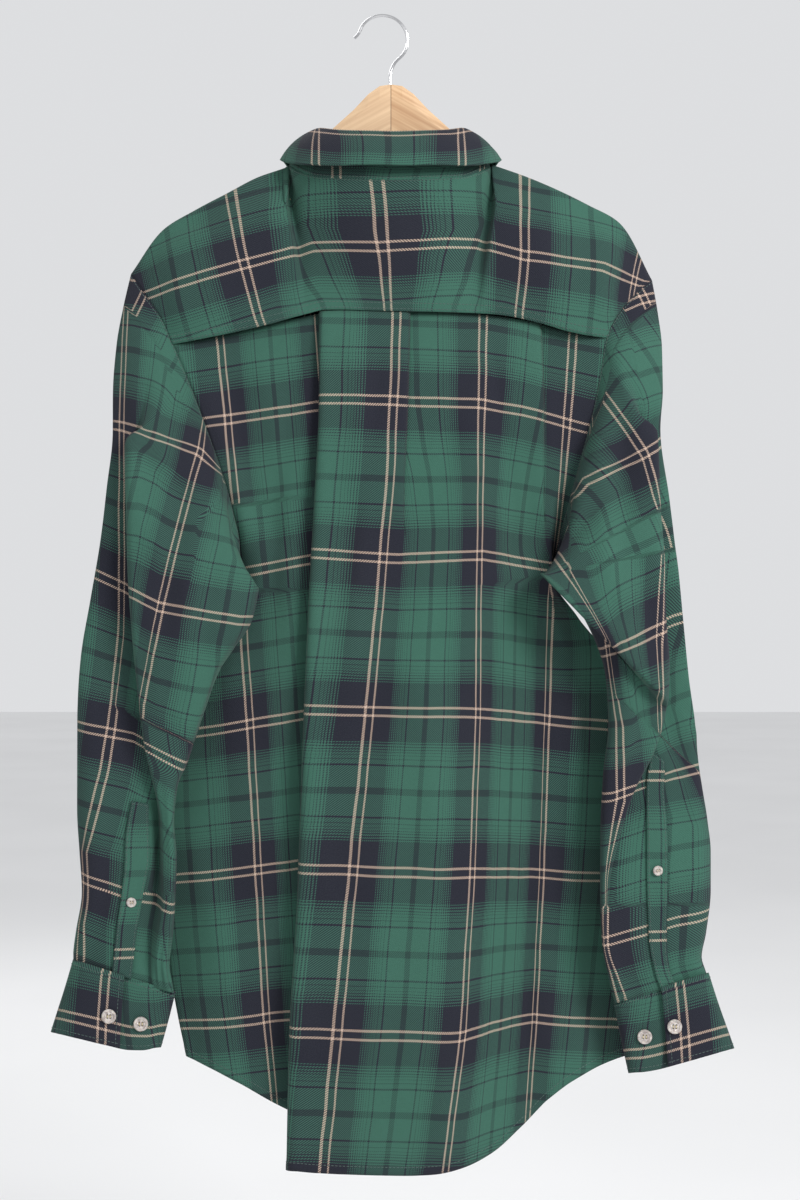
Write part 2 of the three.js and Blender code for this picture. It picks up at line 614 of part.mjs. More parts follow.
// Armhole seams, then side seams, share their rims.
const UNDERARM_FACING = { x: 0.98, z: -0.2 };
for (const side of ["left", "right"]) {
  const sleeve = normals["sleeve_" + side];
  const around = sleeve[0].length;
  const pickColumn = (grid) => (side === "left" ? 0 : grid[0].length - 1);
  const seams = [
    [normals.yoke, (i) => [YOKE_BACK_ROWS - i, pickColumn(normals.yoke)], (i) => [0, i], YOKE_BACK_ROWS],
    [normals.yoke, (i) => [YOKE_BACK_ROWS + i, pickColumn(normals.yoke)], (i) => [0, (around - i) % around], YOKE_FRONT_ROWS],
    [normals.back, (i) => [i, pickColumn(normals.back)], (i) => [0, YOKE_BACK_ROWS + i], ARMHOLE_ROWS],
  ];
  for (const [body, pickBody, pickSleeve, count] of seams) shareRim(body, pickBody, sleeve, pickSleeve, count + 1);
  const front = normals["front_" + side];
  shareRim(front, (i) => [i, 0], sleeve, (i) => [0, (around - YOKE_FRONT_ROWS - i) % around], FRONT_ARMHOLE_ROWS + 1);
  // Down the side seam the thickness points out sideways, square to the seam.
  const outward = side === "left" ? -1 : 1;
  for (let i = 0; i <= SIDE_ROWS; i += 1) {
    const above = grids["front_" + side][FRONT_ARMHOLE_ROWS + Math.max(1, i) - 1][0];
    const below = grids["front_" + side][FRONT_ARMHOLE_ROWS + Math.max(1, i)][0];
    const square = new THREE.Vector3(above.z - below.z, 0, below.x - above.x).normalize().multiplyScalar(outward);
    if (i === 0) square.set(outward * UNDERARM_FACING.x, 0, UNDERARM_FACING.z);
    normals.back[ARMHOLE_ROWS + i][pickColumn(normals.back)] = square;
    front[FRONT_ARMHOLE_ROWS + i][0] = square.clone();
    if (i === 0) sleeve[0][NEAR_POINTS] = square.clone();
  }
}

const drawn = {
  yoke: drawnIn(grids.yoke, { top: true, bottom: true, left: true, right: true, beside: [[5, 8], [16, 19]] }),
  back: drawnIn(grids.back, { top: true, left: true, right: true }),
};
for (const side of ["left", "right"]) {
  drawn["front_" + side] = drawnIn(grids["front_" + side], { top: true, left: true });
  drawn["sleeve_" + side] = drawnIn(grids["sleeve_" + side], { top: true, bottom: true, sharpAt: NEAR_POINTS });
  drawn["cuff_" + side] = drawnIn(grids["cuff_" + side], { top: true });
}
for (const name of Object.keys(drawn))
  addPiece(name, wall(drawn[name], normals[name], name.startsWith("cuff") ? DOUBLE_CLOTH : CLOTH, isTube(name)));

// A point on a piece's cloth, between its rows and columns, lifted off the middle of its wall.
function onCloth(name, row, column, lift) {
  const grid = grids[name];
  const between = (values) => {
    const r = Math.min(Math.floor(row), grid.length - 2);
    const c = Math.min(Math.floor(column), grid[0].length - 2);
    const upper = values[r][c].clone().lerp(values[r][c + 1], column - c);
    const lower = values[r + 1][c].clone().lerp(values[r + 1][c + 1], column - c);
    return upper.lerp(lower, row - r);
  };
  const normal = between(normals[name]).normalize();
  return { point: between(grid).addScaledVector(normal, lift), normal };
}
const BAND_LIFT = CLOTH + 2 * GAP;
const PLACKET_LIFT = CLOTH + 3 * GAP;

function strip(name, rows, columnsAt, columnCount, lift) {
  const grid = rows.map((row) => {
    const [from, to] = columnsAt(row);
    return steps(columnCount, from, to).map((column) => onCloth(name, row, column, lift));
  });
  const points = grid.map((row) => row.map(({ point }) => point));
  return wall(points, grid.map((row) => row.map(({ normal }) => normal)), CLOTH);
}

// Sleeve plackets lie on the layer behind, between two shares of the way from the outer end to the valley.
const PLACKETS = {
  left: { first: 10.6, edges: table(["ring", "from", "to"], [[10.6, 0.72, 0.98], [12, 0.62, 0.98], [15, 0.64, 0.98]]) },
  right: { first: 11.9, edges: table(["ring", "from", "to"], [[11.9, 0.62, 0.84], [14, 0.42, 0.64], [17, 0.37, 0.56]]) },
};
const columnOf = (share) => (share < 0.55 ? 1 + (share - 0.1) / 0.45 : 2 + (share - 0.55) / 0.45);

function placketColumns(side, ring) {
  const { from, to } = PLACKETS[side].edges(ring);
  return [columnOf(from), columnOf(to)];
}

for (const side of ["left", "right"]) {
  const lastRing = grids["sleeve_" + side].length - 1.08;
  const rows = steps(8, PLACKETS[side].first, lastRing);
  addPiece("placket_" + side, strip("sleeve_" + side, rows, (ring) => placketColumns(side, ring), 3, PLACKET_LIFT));
}

// Front band: on the left front, from its edge to the same width past the middle.
const BAND_ROWS = grids.front_left.length - 1;
function bandColumns(row) {
  const line = grids.front_left[row];
  const edge = line.length - 1;
  let column = edge - 1;
  while (line[column].x > CENTRE - HALF_OVERLAP) column -= 1;
  const inner = column + (CENTRE - HALF_OVERLAP - line[column].x) / (line[column + 1].x - line[column].x);
  return [inner, edge];
}
addPiece("front_band", strip("front_left", steps(BAND_ROWS, 0, BAND_ROWS), bandColumns, 4, BAND_LIFT));

// Collar stand, from its right end under its left end, and the fall turned down over it.
const STAND_TURN = 190;
const STAND_LIFT = { behind: CLOTH / 2 + GAP, beside: CLOTH / 2 + 7 * GAP, before: CLOTH / 2 + 3 * GAP };
const standLift = (turn) =>
  mix(
    mix(STAND_LIFT.behind, STAND_LIFT.beside, ease((Math.abs(turn) - 45) / 25)),
    STAND_LIFT.before,
    ease((Math.abs(turn) - 115) / 20),
  );
const standTurns = steps(32, -STAND_TURN, STAND_TURN);
const standGrid = steps(2).map((up) =>
  standTurns.map((turn) => {
    const heights = COLLAR(Math.abs(turn));
    const base = ringPoint(NECKLINE_RING, turn, heights.neckline - standLift(turn), lapOutward(turn));
    const top = ringPoint(FOLD_RING, turn, heights.fold + 4.4, lapOutward(turn));
    return placed(mixPoint(base, top, up));
  }),
);
grids.collar_stand = standGrid;
normals.collar_stand = normalsOf(standGrid, false, 1);
addPiece("collar_stand", wall(standGrid, normals.collar_stand, DOUBLE_CLOTH));

const FALL_ROWS = [
  { out: 0, down: 0.0, above: -1.2 },
  { out: 0.08, down: 0.0, above: 0.6 },
  { out: 0.28, down: 0.07, above: 0 },
  { out: 0.66, down: 0.4, above: 0 },
  { out: 0.87, down: 0.72, above: 0 },
  { out: 1, down: 1, above: 0 },
];
const fallGrid = FALL_ROWS.map(({ out, down, above }) =>
  steps(30, -1, 1).map((share) => {
    const turn = share * mix(171, 151, down);
    const fold = COLLAR(Math.abs(turn)).fold;
    const edge = COLLAR(Math.abs(share) * 151).edge;
    const ring = {
      across: mix(FOLD_RING.across, EDGE_RING.across, out),
      deep: mix(FOLD_RING.deep, EDGE_RING.deep, out),
    };
    return placed(ringPoint(ring, turn, mix(fold, edge, down) - above));
  }),
);
addPiece("collar_fall", wall(fallGrid, normalsOf(fallGrid, false, 1), DOUBLE_CLOTH));

// Buttons, turned from one profile, seated on the cloth.
const SHIRT_BUTTON = 11.4;
const SMALL_BUTTON = 7.6;
function addButton(name, seat, diameter, clothThickness) {
  const radius = diameter / 2;
  const profile = [
    [0, 0], [radius - 0.6, 0], [radius, 0.7], [radius, 1.5], [radius - 0.6, 2.2],
    [radius - 1.6, 2.2], [radius - 2.1, 1.6], [0, 1.6],
  ];
  const turned = new THREE.LatheGeometry(profile.map(([x, y]) => new THREE.Vector2(x, y)), 12);
  const button = addPiece(name, turned, "#a8938f", 0.35);
  button.position.copy(seat.point).addScaledVector(seat.normal, clothThickness / 2 + GAP);
  button.quaternion.setFromUnitVectors(new THREE.Vector3(0, 1, 0), seat.normal);
}
const FRONT_BUTTONS = 6;
for (let i = 0; i < FRONT_BUTTONS; i += 1) {
  const row = mix(2.2, 16.4, i / (FRONT_BUTTONS - 1));
  const [from, to] = [Math.floor(row), Math.ceil(row)].map(bandColumns).map(([a, b]) => (a + b) / 2);
  addButton("front_button_" + (i + 1), onCloth("front_left", row, mix(from, to, row % 1), BAND_LIFT), SHIRT_BUTTON, CLOTH);
}
const standSeat = onCloth("collar_stand", 1, 16 * (1 - 180 / STAND_TURN), 0);
addButton("stand_button", standSeat, SHIRT_BUTTON, DOUBLE_CLOTH + 0.4);

const CUFF_SEATS = {
  left: [{ column: 18.3, row: 2.3 }, { column: 3.4, row: 2.3 }],
  right: [{ column: 18.4, row: 2 }, { column: 3.5, row: 2.1 }],
};
for (const side of ["left", "right"]) {
  CUFF_SEATS[side].forEach(({ column, row }, i) =>
    addButton("cuff_button_" + side + "_" + (i + 1), onCloth("cuff_" + side, row, column, GAP), SHIRT_BUTTON, DOUBLE_CLOTH),
  );
  const ring = side === "left" ? 13.2 : 14.6;
  const [from, to] = placketColumns(side, ring);
  const seat = onCloth("sleeve_" + side, ring, (from + to) / 2, PLACKET_LIFT);
  addButton("placket_button_" + side, seat, SMALL_BUTTON, CLOTH);
}

// Hanger: sections of its wood by reach from the middle.
const WOOD = table(
  ["reach", "top", "bottom"],
  [
    [0, 53.2, 126], [9, 54.5, 126], [18, 61, 127], [30, 74, 129], [47, 89.5, 133], [60, 104, 139],
    [70, 125, 149], [80, 144, 158], [92, 145, 162], [130, 152.5, 177], [160, 170, 190], [178, 184.5, 199],
    [187, 193, 203],
  ],
);
const WOOD_THICKNESS = 11;
const HOOK_WIRE = 2.5;
const HOOK_RADIUS = 20;
const NECK_X = 5;

function woodRing(x) {
  const { top, bottom } = WOOD(Math.abs(x - CENTRE));
  const corners = 10;
  return steps(corners).slice(0, -1).map((t) => {
    const angle = 2 * Math.PI * t;
    const flat = (value) => Math.sign(value) * Math.abs(value) ** 0.75;
    const y = (WOOD_THICKNESS / 2) * flat(Math.cos(angle));
    return [x, y, -mix(top, bottom, 0.5 - 0.5 * flat(Math.sin(angle)))];
  });
}

function solidRings(rings) {
  const positions = rings.flat(2);
  const size = rings[0].length;
  const index = [];
  for (let r = 0; r < rings.length - 1; r += 1)
    for (let c = 0; c < size; c += 1) {
      const [a, b] = [r * size + c, r * size + ((c + 1) % size)];
      index.push(a, b, b + size, a, b + size, a + size);
    }
  const last = (rings.length - 1) * size;
  for (let c = 1; c < size - 1; c += 1) index.push(0, c + 1, c, last, last + c, last + c + 1);
  return facingOut(positions, index);
}

const REACHES = [187, 178, 160, 130, 110, 92, 80, 70, 60, 47, 30, 18, 9];
const stations = [...REACHES.map((reach) => -reach), 0, ...REACHES.toReversed()];
const wood = solidRings(stations.map((reach) => woodRing(CENTRE + reach)));

function manifoldOf(geometry) {
  return new wasm.Manifold(
    new wasm.Mesh({
      numProp: 3,
      vertProperties: new Float32Array(geometry.attributes.position.array),
      triVerts: new Uint32Array(geometry.index.array),
    }),
  );
}
function geometryOf(solid) {
  const mesh = solid.getMesh();
  const geometry = new THREE.BufferGeometry();
  geometry.setAttribute("position", new THREE.BufferAttribute(mesh.vertProperties, 3));
  geometry.setIndex(new THREE.BufferAttribute(mesh.triVerts, 1));
  return geometry;
}

// The hook's shank stands in a hole bored in the crown.
const SHANK_END = -76;
const boreRing = (z) =>
  steps(12).slice(0, -1).map((t) => {
    const radius = HOOK_WIRE / 2 + GAP;
    return [NECK_X + radius * Math.cos(2 * Math.PI * t), radius * Math.sin(2 * Math.PI * t), z];
  });
const bore = solidRings([boreRing(SHANK_END - 0.5), boreRing(-40)]);
addPiece("hanger_wood", geometryOf(manifoldOf(wood).subtract(manifoldOf(bore))), "#d3ae83", 0.55);

const hookCentre = new THREE.Vector3(-1.2, 0, HOOK_WIRE / 2 - HOOK_RADIUS);
const hookArc = [165, 140, 115, 90, 65, 40, 15, -10, -32].map((degrees) => {
  const angle = THREE.MathUtils.degToRad(degrees);
  return new THREE.Vector3(Math.cos(angle), 0, Math.sin(angle)).multiplyScalar(HOOK_RADIUS).add(hookCentre);
});
const hookPath = new THREE.CatmullRomCurve3([
  new THREE.Vector3(-23.6, 0, -17),
  ...hookArc,
  new THREE.Vector3(8.5, 0, -37),
  new THREE.Vector3(NECK_X + 0.4, 0, -44),
  new THREE.Vector3(NECK_X, 0, -52),
  new THREE.Vector3(NECK_X, 0, SHANK_END),
]);
const wire = new THREE.Shape().absarc(0, 0, HOOK_WIRE / 2, 0, 2 * Math.PI);
const hook = new THREE.ExtrudeGeometry(wire, { steps: 46, curveSegments: 4, bevelEnabled: false, extrudePath: hookPath });
addPiece("hanger_hook", hook, "#c9ccd0", 0.15, 1);

export default shirt;
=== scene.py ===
import math

import bmesh
import bpy
import numpy as np
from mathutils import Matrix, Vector


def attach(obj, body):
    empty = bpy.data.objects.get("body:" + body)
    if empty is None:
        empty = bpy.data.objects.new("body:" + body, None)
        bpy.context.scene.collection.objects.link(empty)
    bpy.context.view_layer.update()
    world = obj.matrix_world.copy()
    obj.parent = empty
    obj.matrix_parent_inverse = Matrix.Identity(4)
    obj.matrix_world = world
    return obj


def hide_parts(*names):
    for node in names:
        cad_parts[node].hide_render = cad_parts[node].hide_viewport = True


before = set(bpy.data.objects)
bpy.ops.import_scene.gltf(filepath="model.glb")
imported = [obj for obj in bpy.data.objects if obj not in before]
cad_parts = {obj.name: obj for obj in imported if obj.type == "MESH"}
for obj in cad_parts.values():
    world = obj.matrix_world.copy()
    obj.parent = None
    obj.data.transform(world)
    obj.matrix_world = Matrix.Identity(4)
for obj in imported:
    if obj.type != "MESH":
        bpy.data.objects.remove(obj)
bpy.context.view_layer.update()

# Yoke: one shaped panel of flannel across the shoulders, from the seam behind, over the shoulders, to the
# seam of each front. It is cut on the straight grain, and felled and topstitched to the back and the fronts.
MM = 0.001
CLOTH = 1.2
CENTRE = 5.6


def mix(a, b, t):
    return a + (b - a) * t


def clamp(t):
    return min(1.0, max(0.0, t))


def ease(t):
    t = clamp(t)
    return t * t * (3 - 2 * t)


def steps(count, first=0.0, last=1.0):
    return [mix(first, last, i / count) for i in range(count + 1)]


def smooth_through(at, values, wanted):
    """Rows of values read between their places, by a curve through each of them that never overshoots."""
    span = np.diff(at)[:, None]
    slope = np.diff(values, axis=0) / span
    product = slope[:-1] * slope[1:]
    total = slope[:-1] + slope[1:]
    inner = np.where(product > 0, 2 * product / np.where(total == 0, 1, total), 0)
    tangent = np.concatenate([slope[:1], inner, slope[-1:]])
    j = np.clip(np.searchsorted(at, wanted, side="right") - 1, 0, len(at) - 2)
    span = span[j]
    t = np.clip((wanted - at[j])[:, None] / span, 0, 1)
    start = (1 + 2 * t) * (1 - t) ** 2 * values[j] + t * (1 - t) ** 2 * span * tangent[j]
    end = t * t * (3 - 2 * t) * values[j + 1] + t * t * (t - 1) * span * tangent[j + 1]
    return start + end


def table(names, rows):
    """Reads named values at any key of the first column."""
    rows = np.array(rows, float)
    names = names.split()[1:]

    def read(key):
        values = smooth_through(rows[:, 0], rows[:, 1:], np.array([key], float))[0]
        return values[0] if len(names) == 1 else dict(zip(names, values))

    return read


# The tables give x and drop as they show square-on from this far away, in the plane of the hook.
VIEW_DISTANCE, VIEW_X, VIEW_Z = 1550.0, 12.8, -466.4


def placed(grid):
    grid = np.array(grid, float)
    nearer = 1 + grid[..., 1] / VIEW_DISTANCE
    grid[..., 0] = VIEW_X + (grid[..., 0] - VIEW_X) * nearer
    grid[..., 2] = VIEW_Z + (grid[..., 2] - VIEW_Z) * nearer
    return grid


ARMHOLE = {
    "left": table("drop x depth", [
        [206, -202, 0], [214, -197, 7], [223, -191, 11], [247, -175, 17], [267, -167, 18], [290, -157, 19],
        [330, -142, 19], [378, -126, 16], [414, -117, 11], [438, -114, 5], [450, -115, 0]]),
    "right": table("drop x depth", [
        [211, 214, 0], [218, 205, 8], [237, 188, 15], [253, 179, 18], [282, 174, 19], [314, 168, 19],
        [338, 162, 18], [382, 150, 15], [414, 141, 10], [436, 136, 5], [446, 134, 0]]),
}
SHOULDER = {"left": 206, "right": 211}
FRONT_YOKE = {"left": 238, "right": 243}
BACK_YOKE = {"left": 262, "right": 257}
SIGN = {"left": -1, "right": 1}


def armhole_point(side, drop, towards):
    edge = ARMHOLE[side](drop)
    return np.array([edge["x"], towards * edge["depth"], -drop])


SHOULDER_LINE = {
    "left": table("reach drop", [
        [0, 119.5], [18, 125], [44, 138], [73, 153], [106, 174], [120, 193], [127.6, 206]]),
    "right": table("reach drop", [
        [0, 118.5], [22, 126], [49, 137], [85, 155], [107, 169], [122, 195], [128.4, 211]]),
}
SHOULDER_REACH = {"left": 127.6, "right": 128.4}
NECK_HALF = 80
COLLAR = table("turn neckline fold edge", [
    [0, 129, 92.5, 118], [45, 127, 91.5, 118.5], [75, 121, 90, 116], [90, 119, 91, 115],
    [104, 121.5, 95, 115.5], [120, 135, 106, 137], [135, 150, 119, 168], [151, 167, 133, 212],
    [172, 182, 147, 212], [195, 187, 152, 212]])
NECKLINE_RING = {"across": NECK_HALF, "deep": 44}
YOKE_TURN = 112
END_LAP = 1.9


def ring_point(ring, turn, drop, outward=0.0):
    angle = math.radians(turn)
    x = CENTRE + (ring["across"] + outward) * math.sin(angle)
    return np.array([x, -(ring["deep"] + outward) * math.cos(angle), -drop])


def lap_outward(turn):
    return -END_LAP * turn / 190


def neckline_point(turn):
    return ring_point(NECKLINE_RING, turn, COLLAR(abs(turn))["neckline"], lap_outward(turn))


YOKE_SEAM = table("x drop", [
    [-169.6, 262], [-146, 257.6], [-94, 246.4], [-65, 238.4], [-43, 234], [-3, 235], [42, 236], [90, 238],
    [108, 241], [125, 245], [153, 253], [177.6, 257]])
YOKE_DEPTH = 24
YOKE_BACK_SHARES = [0, 0.36, 0.68, 0.89, 1]
YOKE_FRONT_SHARES = [0, 0.24, 0.58, 1]


def front_seam_point(side, t):
    point = mix(armhole_point(side, FRONT_YOKE[side], 1), neckline_point(SIGN[side] * YOKE_TURN), t)
    point[2] += 6 * math.sin(math.pi * t)
    return point


def yoke_arm_column(side, t):
    reach = mix(SHOULDER_REACH[side], 0, t)
    ridge = np.array([CENTRE + SIGN[side] * (NECK_HALF + reach), 0, -SHOULDER_LINE[side](reach)])
    edge = ARMHOLE[side](BACK_YOKE[side])
    seam_x = mix(edge["x"], CENTRE + SIGN[side] * 92, t)
    seam = np.array([seam_x, -mix(edge["depth"], YOKE_DEPTH, ease(3 * t)), -YOKE_SEAM(seam_x)])
    front = front_seam_point(side, t)
    return {"seam": seam, "ridge": ridge, "front": front, "side": side, "t": t, "over": 1.0}


def yoke_neck_column(turn):
    seam_x = CENTRE + 92 * turn / YOKE_TURN
    seam = np.array([seam_x, -YOKE_DEPTH, -YOKE_SEAM(seam_x)])
    top = neckline_point(turn)
    over = clamp((abs(turn) - 84) / 10)
    side = "left" if turn < 0 else "right"
    ridge_top = np.array([CENTRE + np.sign(turn) * (NECK_HALF + 5), 0, -SHOULDER_LINE[side](0) - 2.5])
    ridge = mix(mix(seam, top, 0.62), ridge_top, over)
    return {"seam": seam, "ridge": ridge, "front": top, "side": None, "t": 0, "over": over}


def yoke_point(column, back, along):
    if column["side"] and column["t"] == 0:
        side = column["side"]
        start, end = (BACK_YOKE, SHOULDER) if back else (SHOULDER, FRONT_YOKE)
        return armhole_point(side, mix(start[side], end[side], along), -1 if back else 1)
    start, end = (column["seam"], column["ridge"]) if back else (column["ridge"], column["front"])
    point = mix(start, end, along)
    bend = math.sin(math.pi * along) * column["over"] * min(1, np.linalg.norm(end - start) / 38)
    point[1] += (-13 if back else 7) * bend
    point[2] += (9 if back else 5) * bend
    return point


def yoke_grid():
    columns = [yoke_arm_column("left", t) for t in steps(5)]
    columns += [yoke_neck_column(turn) for turn in steps(14, -YOKE_TURN, YOKE_TURN)[1:-1]]
    columns += [yoke_arm_column("right", t) for t in reversed(steps(5))]
    rows = [(True, share) for share in YOKE_BACK_SHARES] + [(False, share) for share in YOKE_FRONT_SHARES[1:]]
    return placed([[yoke_point(column, *row) for column in columns] for row in rows])


def refined(grid, step, closed=False):
    """The grid with points a step apart, and the place of each new row and column among the old ones."""

    def along(points, wrapped):
        count = len(points)
        if wrapped:
            points = np.concatenate([points[-2:], points, points[:3]])
        first = 2 if wrapped else 0
        chord = np.linalg.norm(np.diff(points, axis=0), axis=2)
        at = np.concatenate([[0], np.cumsum(np.maximum(chord.mean(axis=1), 0.05))])
        wanted = []
        place = []
        for k in range(count if wrapped else count - 1):
            parts = max(1, math.ceil(chord[first + k].max() / step))
            share = np.arange(parts) / parts
            wanted.extend(mix(at[first + k], at[first + k + 1], share))
            place.extend(k + share)
        if not wrapped:
            wanted.append(at[-1])
            place.append(count - 1)
        values = smooth_through(at, points.reshape(len(points), -1), np.array(wanted))
        return values.reshape(len(wanted), -1, 3), np.array(place)

    fine, row_at = along(np.asarray(grid, float), False)
    turned, column_at = along(fine.transpose(1, 0, 2), closed)
    return turned.transpose(1, 0, 2), row_at, column_at


def grid_normals(grid, facing, closed=False):
    """Unit normals out of the garment."""
    if closed:
        around = np.concatenate([grid[:, -1:], grid, grid[:, :1]], axis=1)
        across = around[:, 2:] - around[:, :-2]
    else:
        across = np.gradient(grid, axis=1)
    normal = np.cross(across, np.gradient(grid, axis=0))
    return facing * normal / np.maximum(np.linalg.norm(normal, axis=2, keepdims=True), 1e-9)


def creases(x, drop, rows):
    """Height of soft ridges, or of troughs where it is negative, each from one end to the other."""
    height = np.zeros_like(x)
    for x1, drop1, x2, drop2, width, rise in rows:
        length = math.hypot(x2 - x1, drop2 - drop1)
        ux, uz = (x2 - x1) / length, (drop2 - drop1) / length
        along = ((x - x1) * ux + (drop - drop1) * uz) / length
        aside = (x - x1) * uz - (drop - drop1) * ux
        aside = aside + 0.06 * length * np.sin(2.6 * along + 0.1 * x1)
        taper = np.clip(along * 5 + 0.5, 0, 1) * np.clip((1 - along) * 3 + 0.5, 0, 1)
        height += rise * np.exp(-((aside / width) ** 2)) * taper**2 * (3 - 2 * taper)
    return height


def lengths_along(grid, axis):
    chord = np.linalg.norm(np.diff(grid, axis=axis), axis=2)
    pad = [(0, 0), (0, 0)]
    pad[axis] = (1, 0)
    return np.pad(np.cumsum(chord, axis=axis), pad)


def cloth_piece(name, grid, warp, weft, thickness=CLOTH, closed=False):
    """A shell of cloth on the grid, with the cloth's own two coordinates in millimetres as its map."""
    rows, columns = grid.shape[:2]
    mesh = bpy.data.meshes.new(name)
    index = np.arange(rows * columns).reshape(rows, columns)
    if closed:
        index = np.concatenate([index, index[:, :1]], axis=1)
    corner = np.stack([index[:-1, :-1], index[1:, :-1], index[1:, 1:], index[:-1, 1:]], axis=-1)
    corner = corner.reshape(-1, 4)
    mesh.from_pydata((grid.reshape(-1, 3) * MM).tolist(), [], corner.tolist())
    cloth_map = mesh.uv_layers.new(name="cloth")
    flat = np.stack([warp, weft], axis=-1) * MM
    face_map = np.stack([flat[:-1, :-1], flat[1:, :-1], flat[1:, 1:], flat[:-1, 1:]], axis=2)
    cloth_map.data.foreach_set("uv", face_map.reshape(-1).astype(np.float32))
    mesh.polygons.foreach_set("use_smooth", [True] * len(mesh.polygons))
    piece = bpy.data.objects.new(name, mesh)
    bpy.context.scene.collection.objects.link(piece)
    shell = piece.modifiers.new("thickness", "SOLIDIFY")
    shell.thickness = thickness * MM * 0.85
    shell.offset = 0
    mesh.materials.append(flannel)
    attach(piece, "root")
    return piece


class Wire:
    """A socket of a material, which takes part in plain arithmetic."""

    def __init__(self, tree, socket=None):
        self.tree = tree
        self.socket = socket

    def node(self, kind, settings, values, output=0):
        made = self.tree.nodes.new("ShaderNode" + kind)
        stops = settings.pop("stops", None)
        for name, value in settings.items():
            setattr(made, name, value)
        if stops:
            ramp = made.color_ramp
            ramp.interpolation = "CONSTANT" if len(stops) > 6 else "EASE"
            for at, color in stops[2:]:
                ramp.elements.new(at)
            for element, (at, color) in zip(ramp.elements, stops):
                element.position = at
                element.color = (*color, 1)
        for key, value in values.items():
            if isinstance(value, Wire):
                self.tree.links.new(value.socket, made.inputs[key])
            else:
                made.inputs[key].default_value = value
        return Wire(self.tree, made.outputs[output])

    def maths(self, operation, *values):
        return self.node("Math", {"operation": operation}, dict(enumerate(values)))

    def __add__(self, other):
        return self.maths("ADD", self, other)

    def __radd__(self, other):
        return self.maths("ADD", other, self)

    def __sub__(self, other):
        return self.maths("SUBTRACT", self, other)

    def __rsub__(self, other):
        return self.maths("SUBTRACT", other, self)

    def __mul__(self, other):
        return self.maths("MULTIPLY", self, other)

    def __rmul__(self, other):
        return self.maths("MULTIPLY", other, self)

    def __truediv__(self, other):
        return self.maths("DIVIDE", self, other)

    def __rtruediv__(self, other):
        return self.maths("DIVIDE", other, self)

    def blended(self, share, other):
        """This colour with another by a share of 0 to 1."""
        colour_mix = {"data_type": "RGBA", "blend_type": "MIX"}
        return self.node("Mix", colour_mix, {0: share, 6: self, 7: other}, output=2)


def surface(name, roughness, **constants):
    """A new material: its wire maker and its shader."""
    material = bpy.data.materials.new(name)
    material.use_nodes = True
    shader = material.node_tree.nodes["Principled BSDF"]
    shader.inputs["Roughness"].default_value = roughness
    for key, value in constants.items():
        shader.inputs[key.replace("_", " ")].default_value = value
    return material, Wire(material.node_tree), shader


WARP_REPEAT = 115
WEFT_REPEAT = 124
GREEN = (0.034, 0.112, 0.080)
NAVY = (0.010, 0.010, 0.020)
CREAM = (0.52, 0.38, 0.30)
DUSK = (0.016, 0.045, 0.038)
# Colours of the yarns from the middle of the cream pair to halfway between two pairs, as shares of that way.
STRIPES = [
    (0, NAVY), (0.036, CREAM), (0.069, NAVY),
    (0.376, GREEN), (0.388, NAVY), (0.410, GREEN), (0.428, NAVY), (0.444, GREEN), (0.466, NAVY),
    (0.477, GREEN), (0.502, NAVY), (0.511, GREEN), (0.540, DUSK), (0.547, GREEN), (0.588, DUSK),
    (0.598, GREEN), (0.658, NAVY), (0.682, GREEN), (0.955, DUSK),
]


def flannel_cloth():
    """Brushed cotton twill in a plaid: each yarn's colour shows where it passes over the other."""
    material, wire, shader = surface(
        "flannel_plaid", 0.94, Sheen_Weight=0.05, Sheen_Roughness=0.5, Specular_IOR_Level=0.1)
    place = wire.node("UVMap", {"uv_map": "cloth"}, {})
    sway = wire.node("TexNoise", {"noise_dimensions": "2D"}, {"Vector": place, "Scale": 22.0, "Detail": 1.0})
    across = wire.node("SeparateXYZ", {}, {0: place}, 0) + (sway - 0.5) * 0.0016
    down = wire.node("SeparateXYZ", {}, {0: place}, 1) + (sway - 0.5) * -0.0014

    def yarns(coordinate, repeat):
        turn = wire.maths("FRACT", coordinate / (repeat * MM) + 50.5)
        away = wire.maths("ABSOLUTE", turn - 0.5) * 2
        return wire.node("ValToRGB", {"stops": STRIPES}, {"Fac": away})

    def grain(stretch_across, stretch_down, seed):
        spread = wire.node(
            "CombineXYZ", {}, {0: across * stretch_across, 1: down * stretch_down, 2: seed})
        return wire.node("TexNoise", {}, {"Vector": spread, "Scale": 1.0, "Detail": 2.0})

    warp = yarns(across, WARP_REPEAT)
    weft = yarns(down, WEFT_REPEAT)
    rib = wire.maths("SINE", (across + down) * (2 * math.pi / (1.9 * MM)))
    over = wire.maths("SMOOTH_MIN", wire.maths("MAXIMUM", rib * 0.62 + 0.5, 0.08), 0.92, 0.05)
    woven = warp.blended(over, weft)
    slub = grain(2600, 120, 1.0) * 0.5 + grain(120, 2600, 4.0) * 0.5
    nap = grain(900, 900, 9.0)
    patch = grain(9, 9, 14.0)
    shaded = woven.blended((slub - 0.35) * 0.5, (0.006, 0.009, 0.011, 1))
    brushed = shaded.blended(nap * 0.035 + patch * 0.02, (0.34, 0.38, 0.36, 1))
    wire.tree.links.new(brushed.socket, shader.inputs["Base Color"])
    relief = rib * 0.35 + nap * 1.4 + slub * 0.8
    bump = wire.node("Bump", {}, {"Height": relief, "Distance": 0.0003, "Strength": 0.7})
    wire.tree.links.new(bump.socket, shader.inputs["Normal"])
    return material


flannel = flannel_cloth()


def from_photo(points):
    """Points of the photograph's 800 by 1200 pixels as x and drop in millimetres."""
    return [(0.8 * px - 307.2, 0.8 * py - 13.6) for px, py in points]


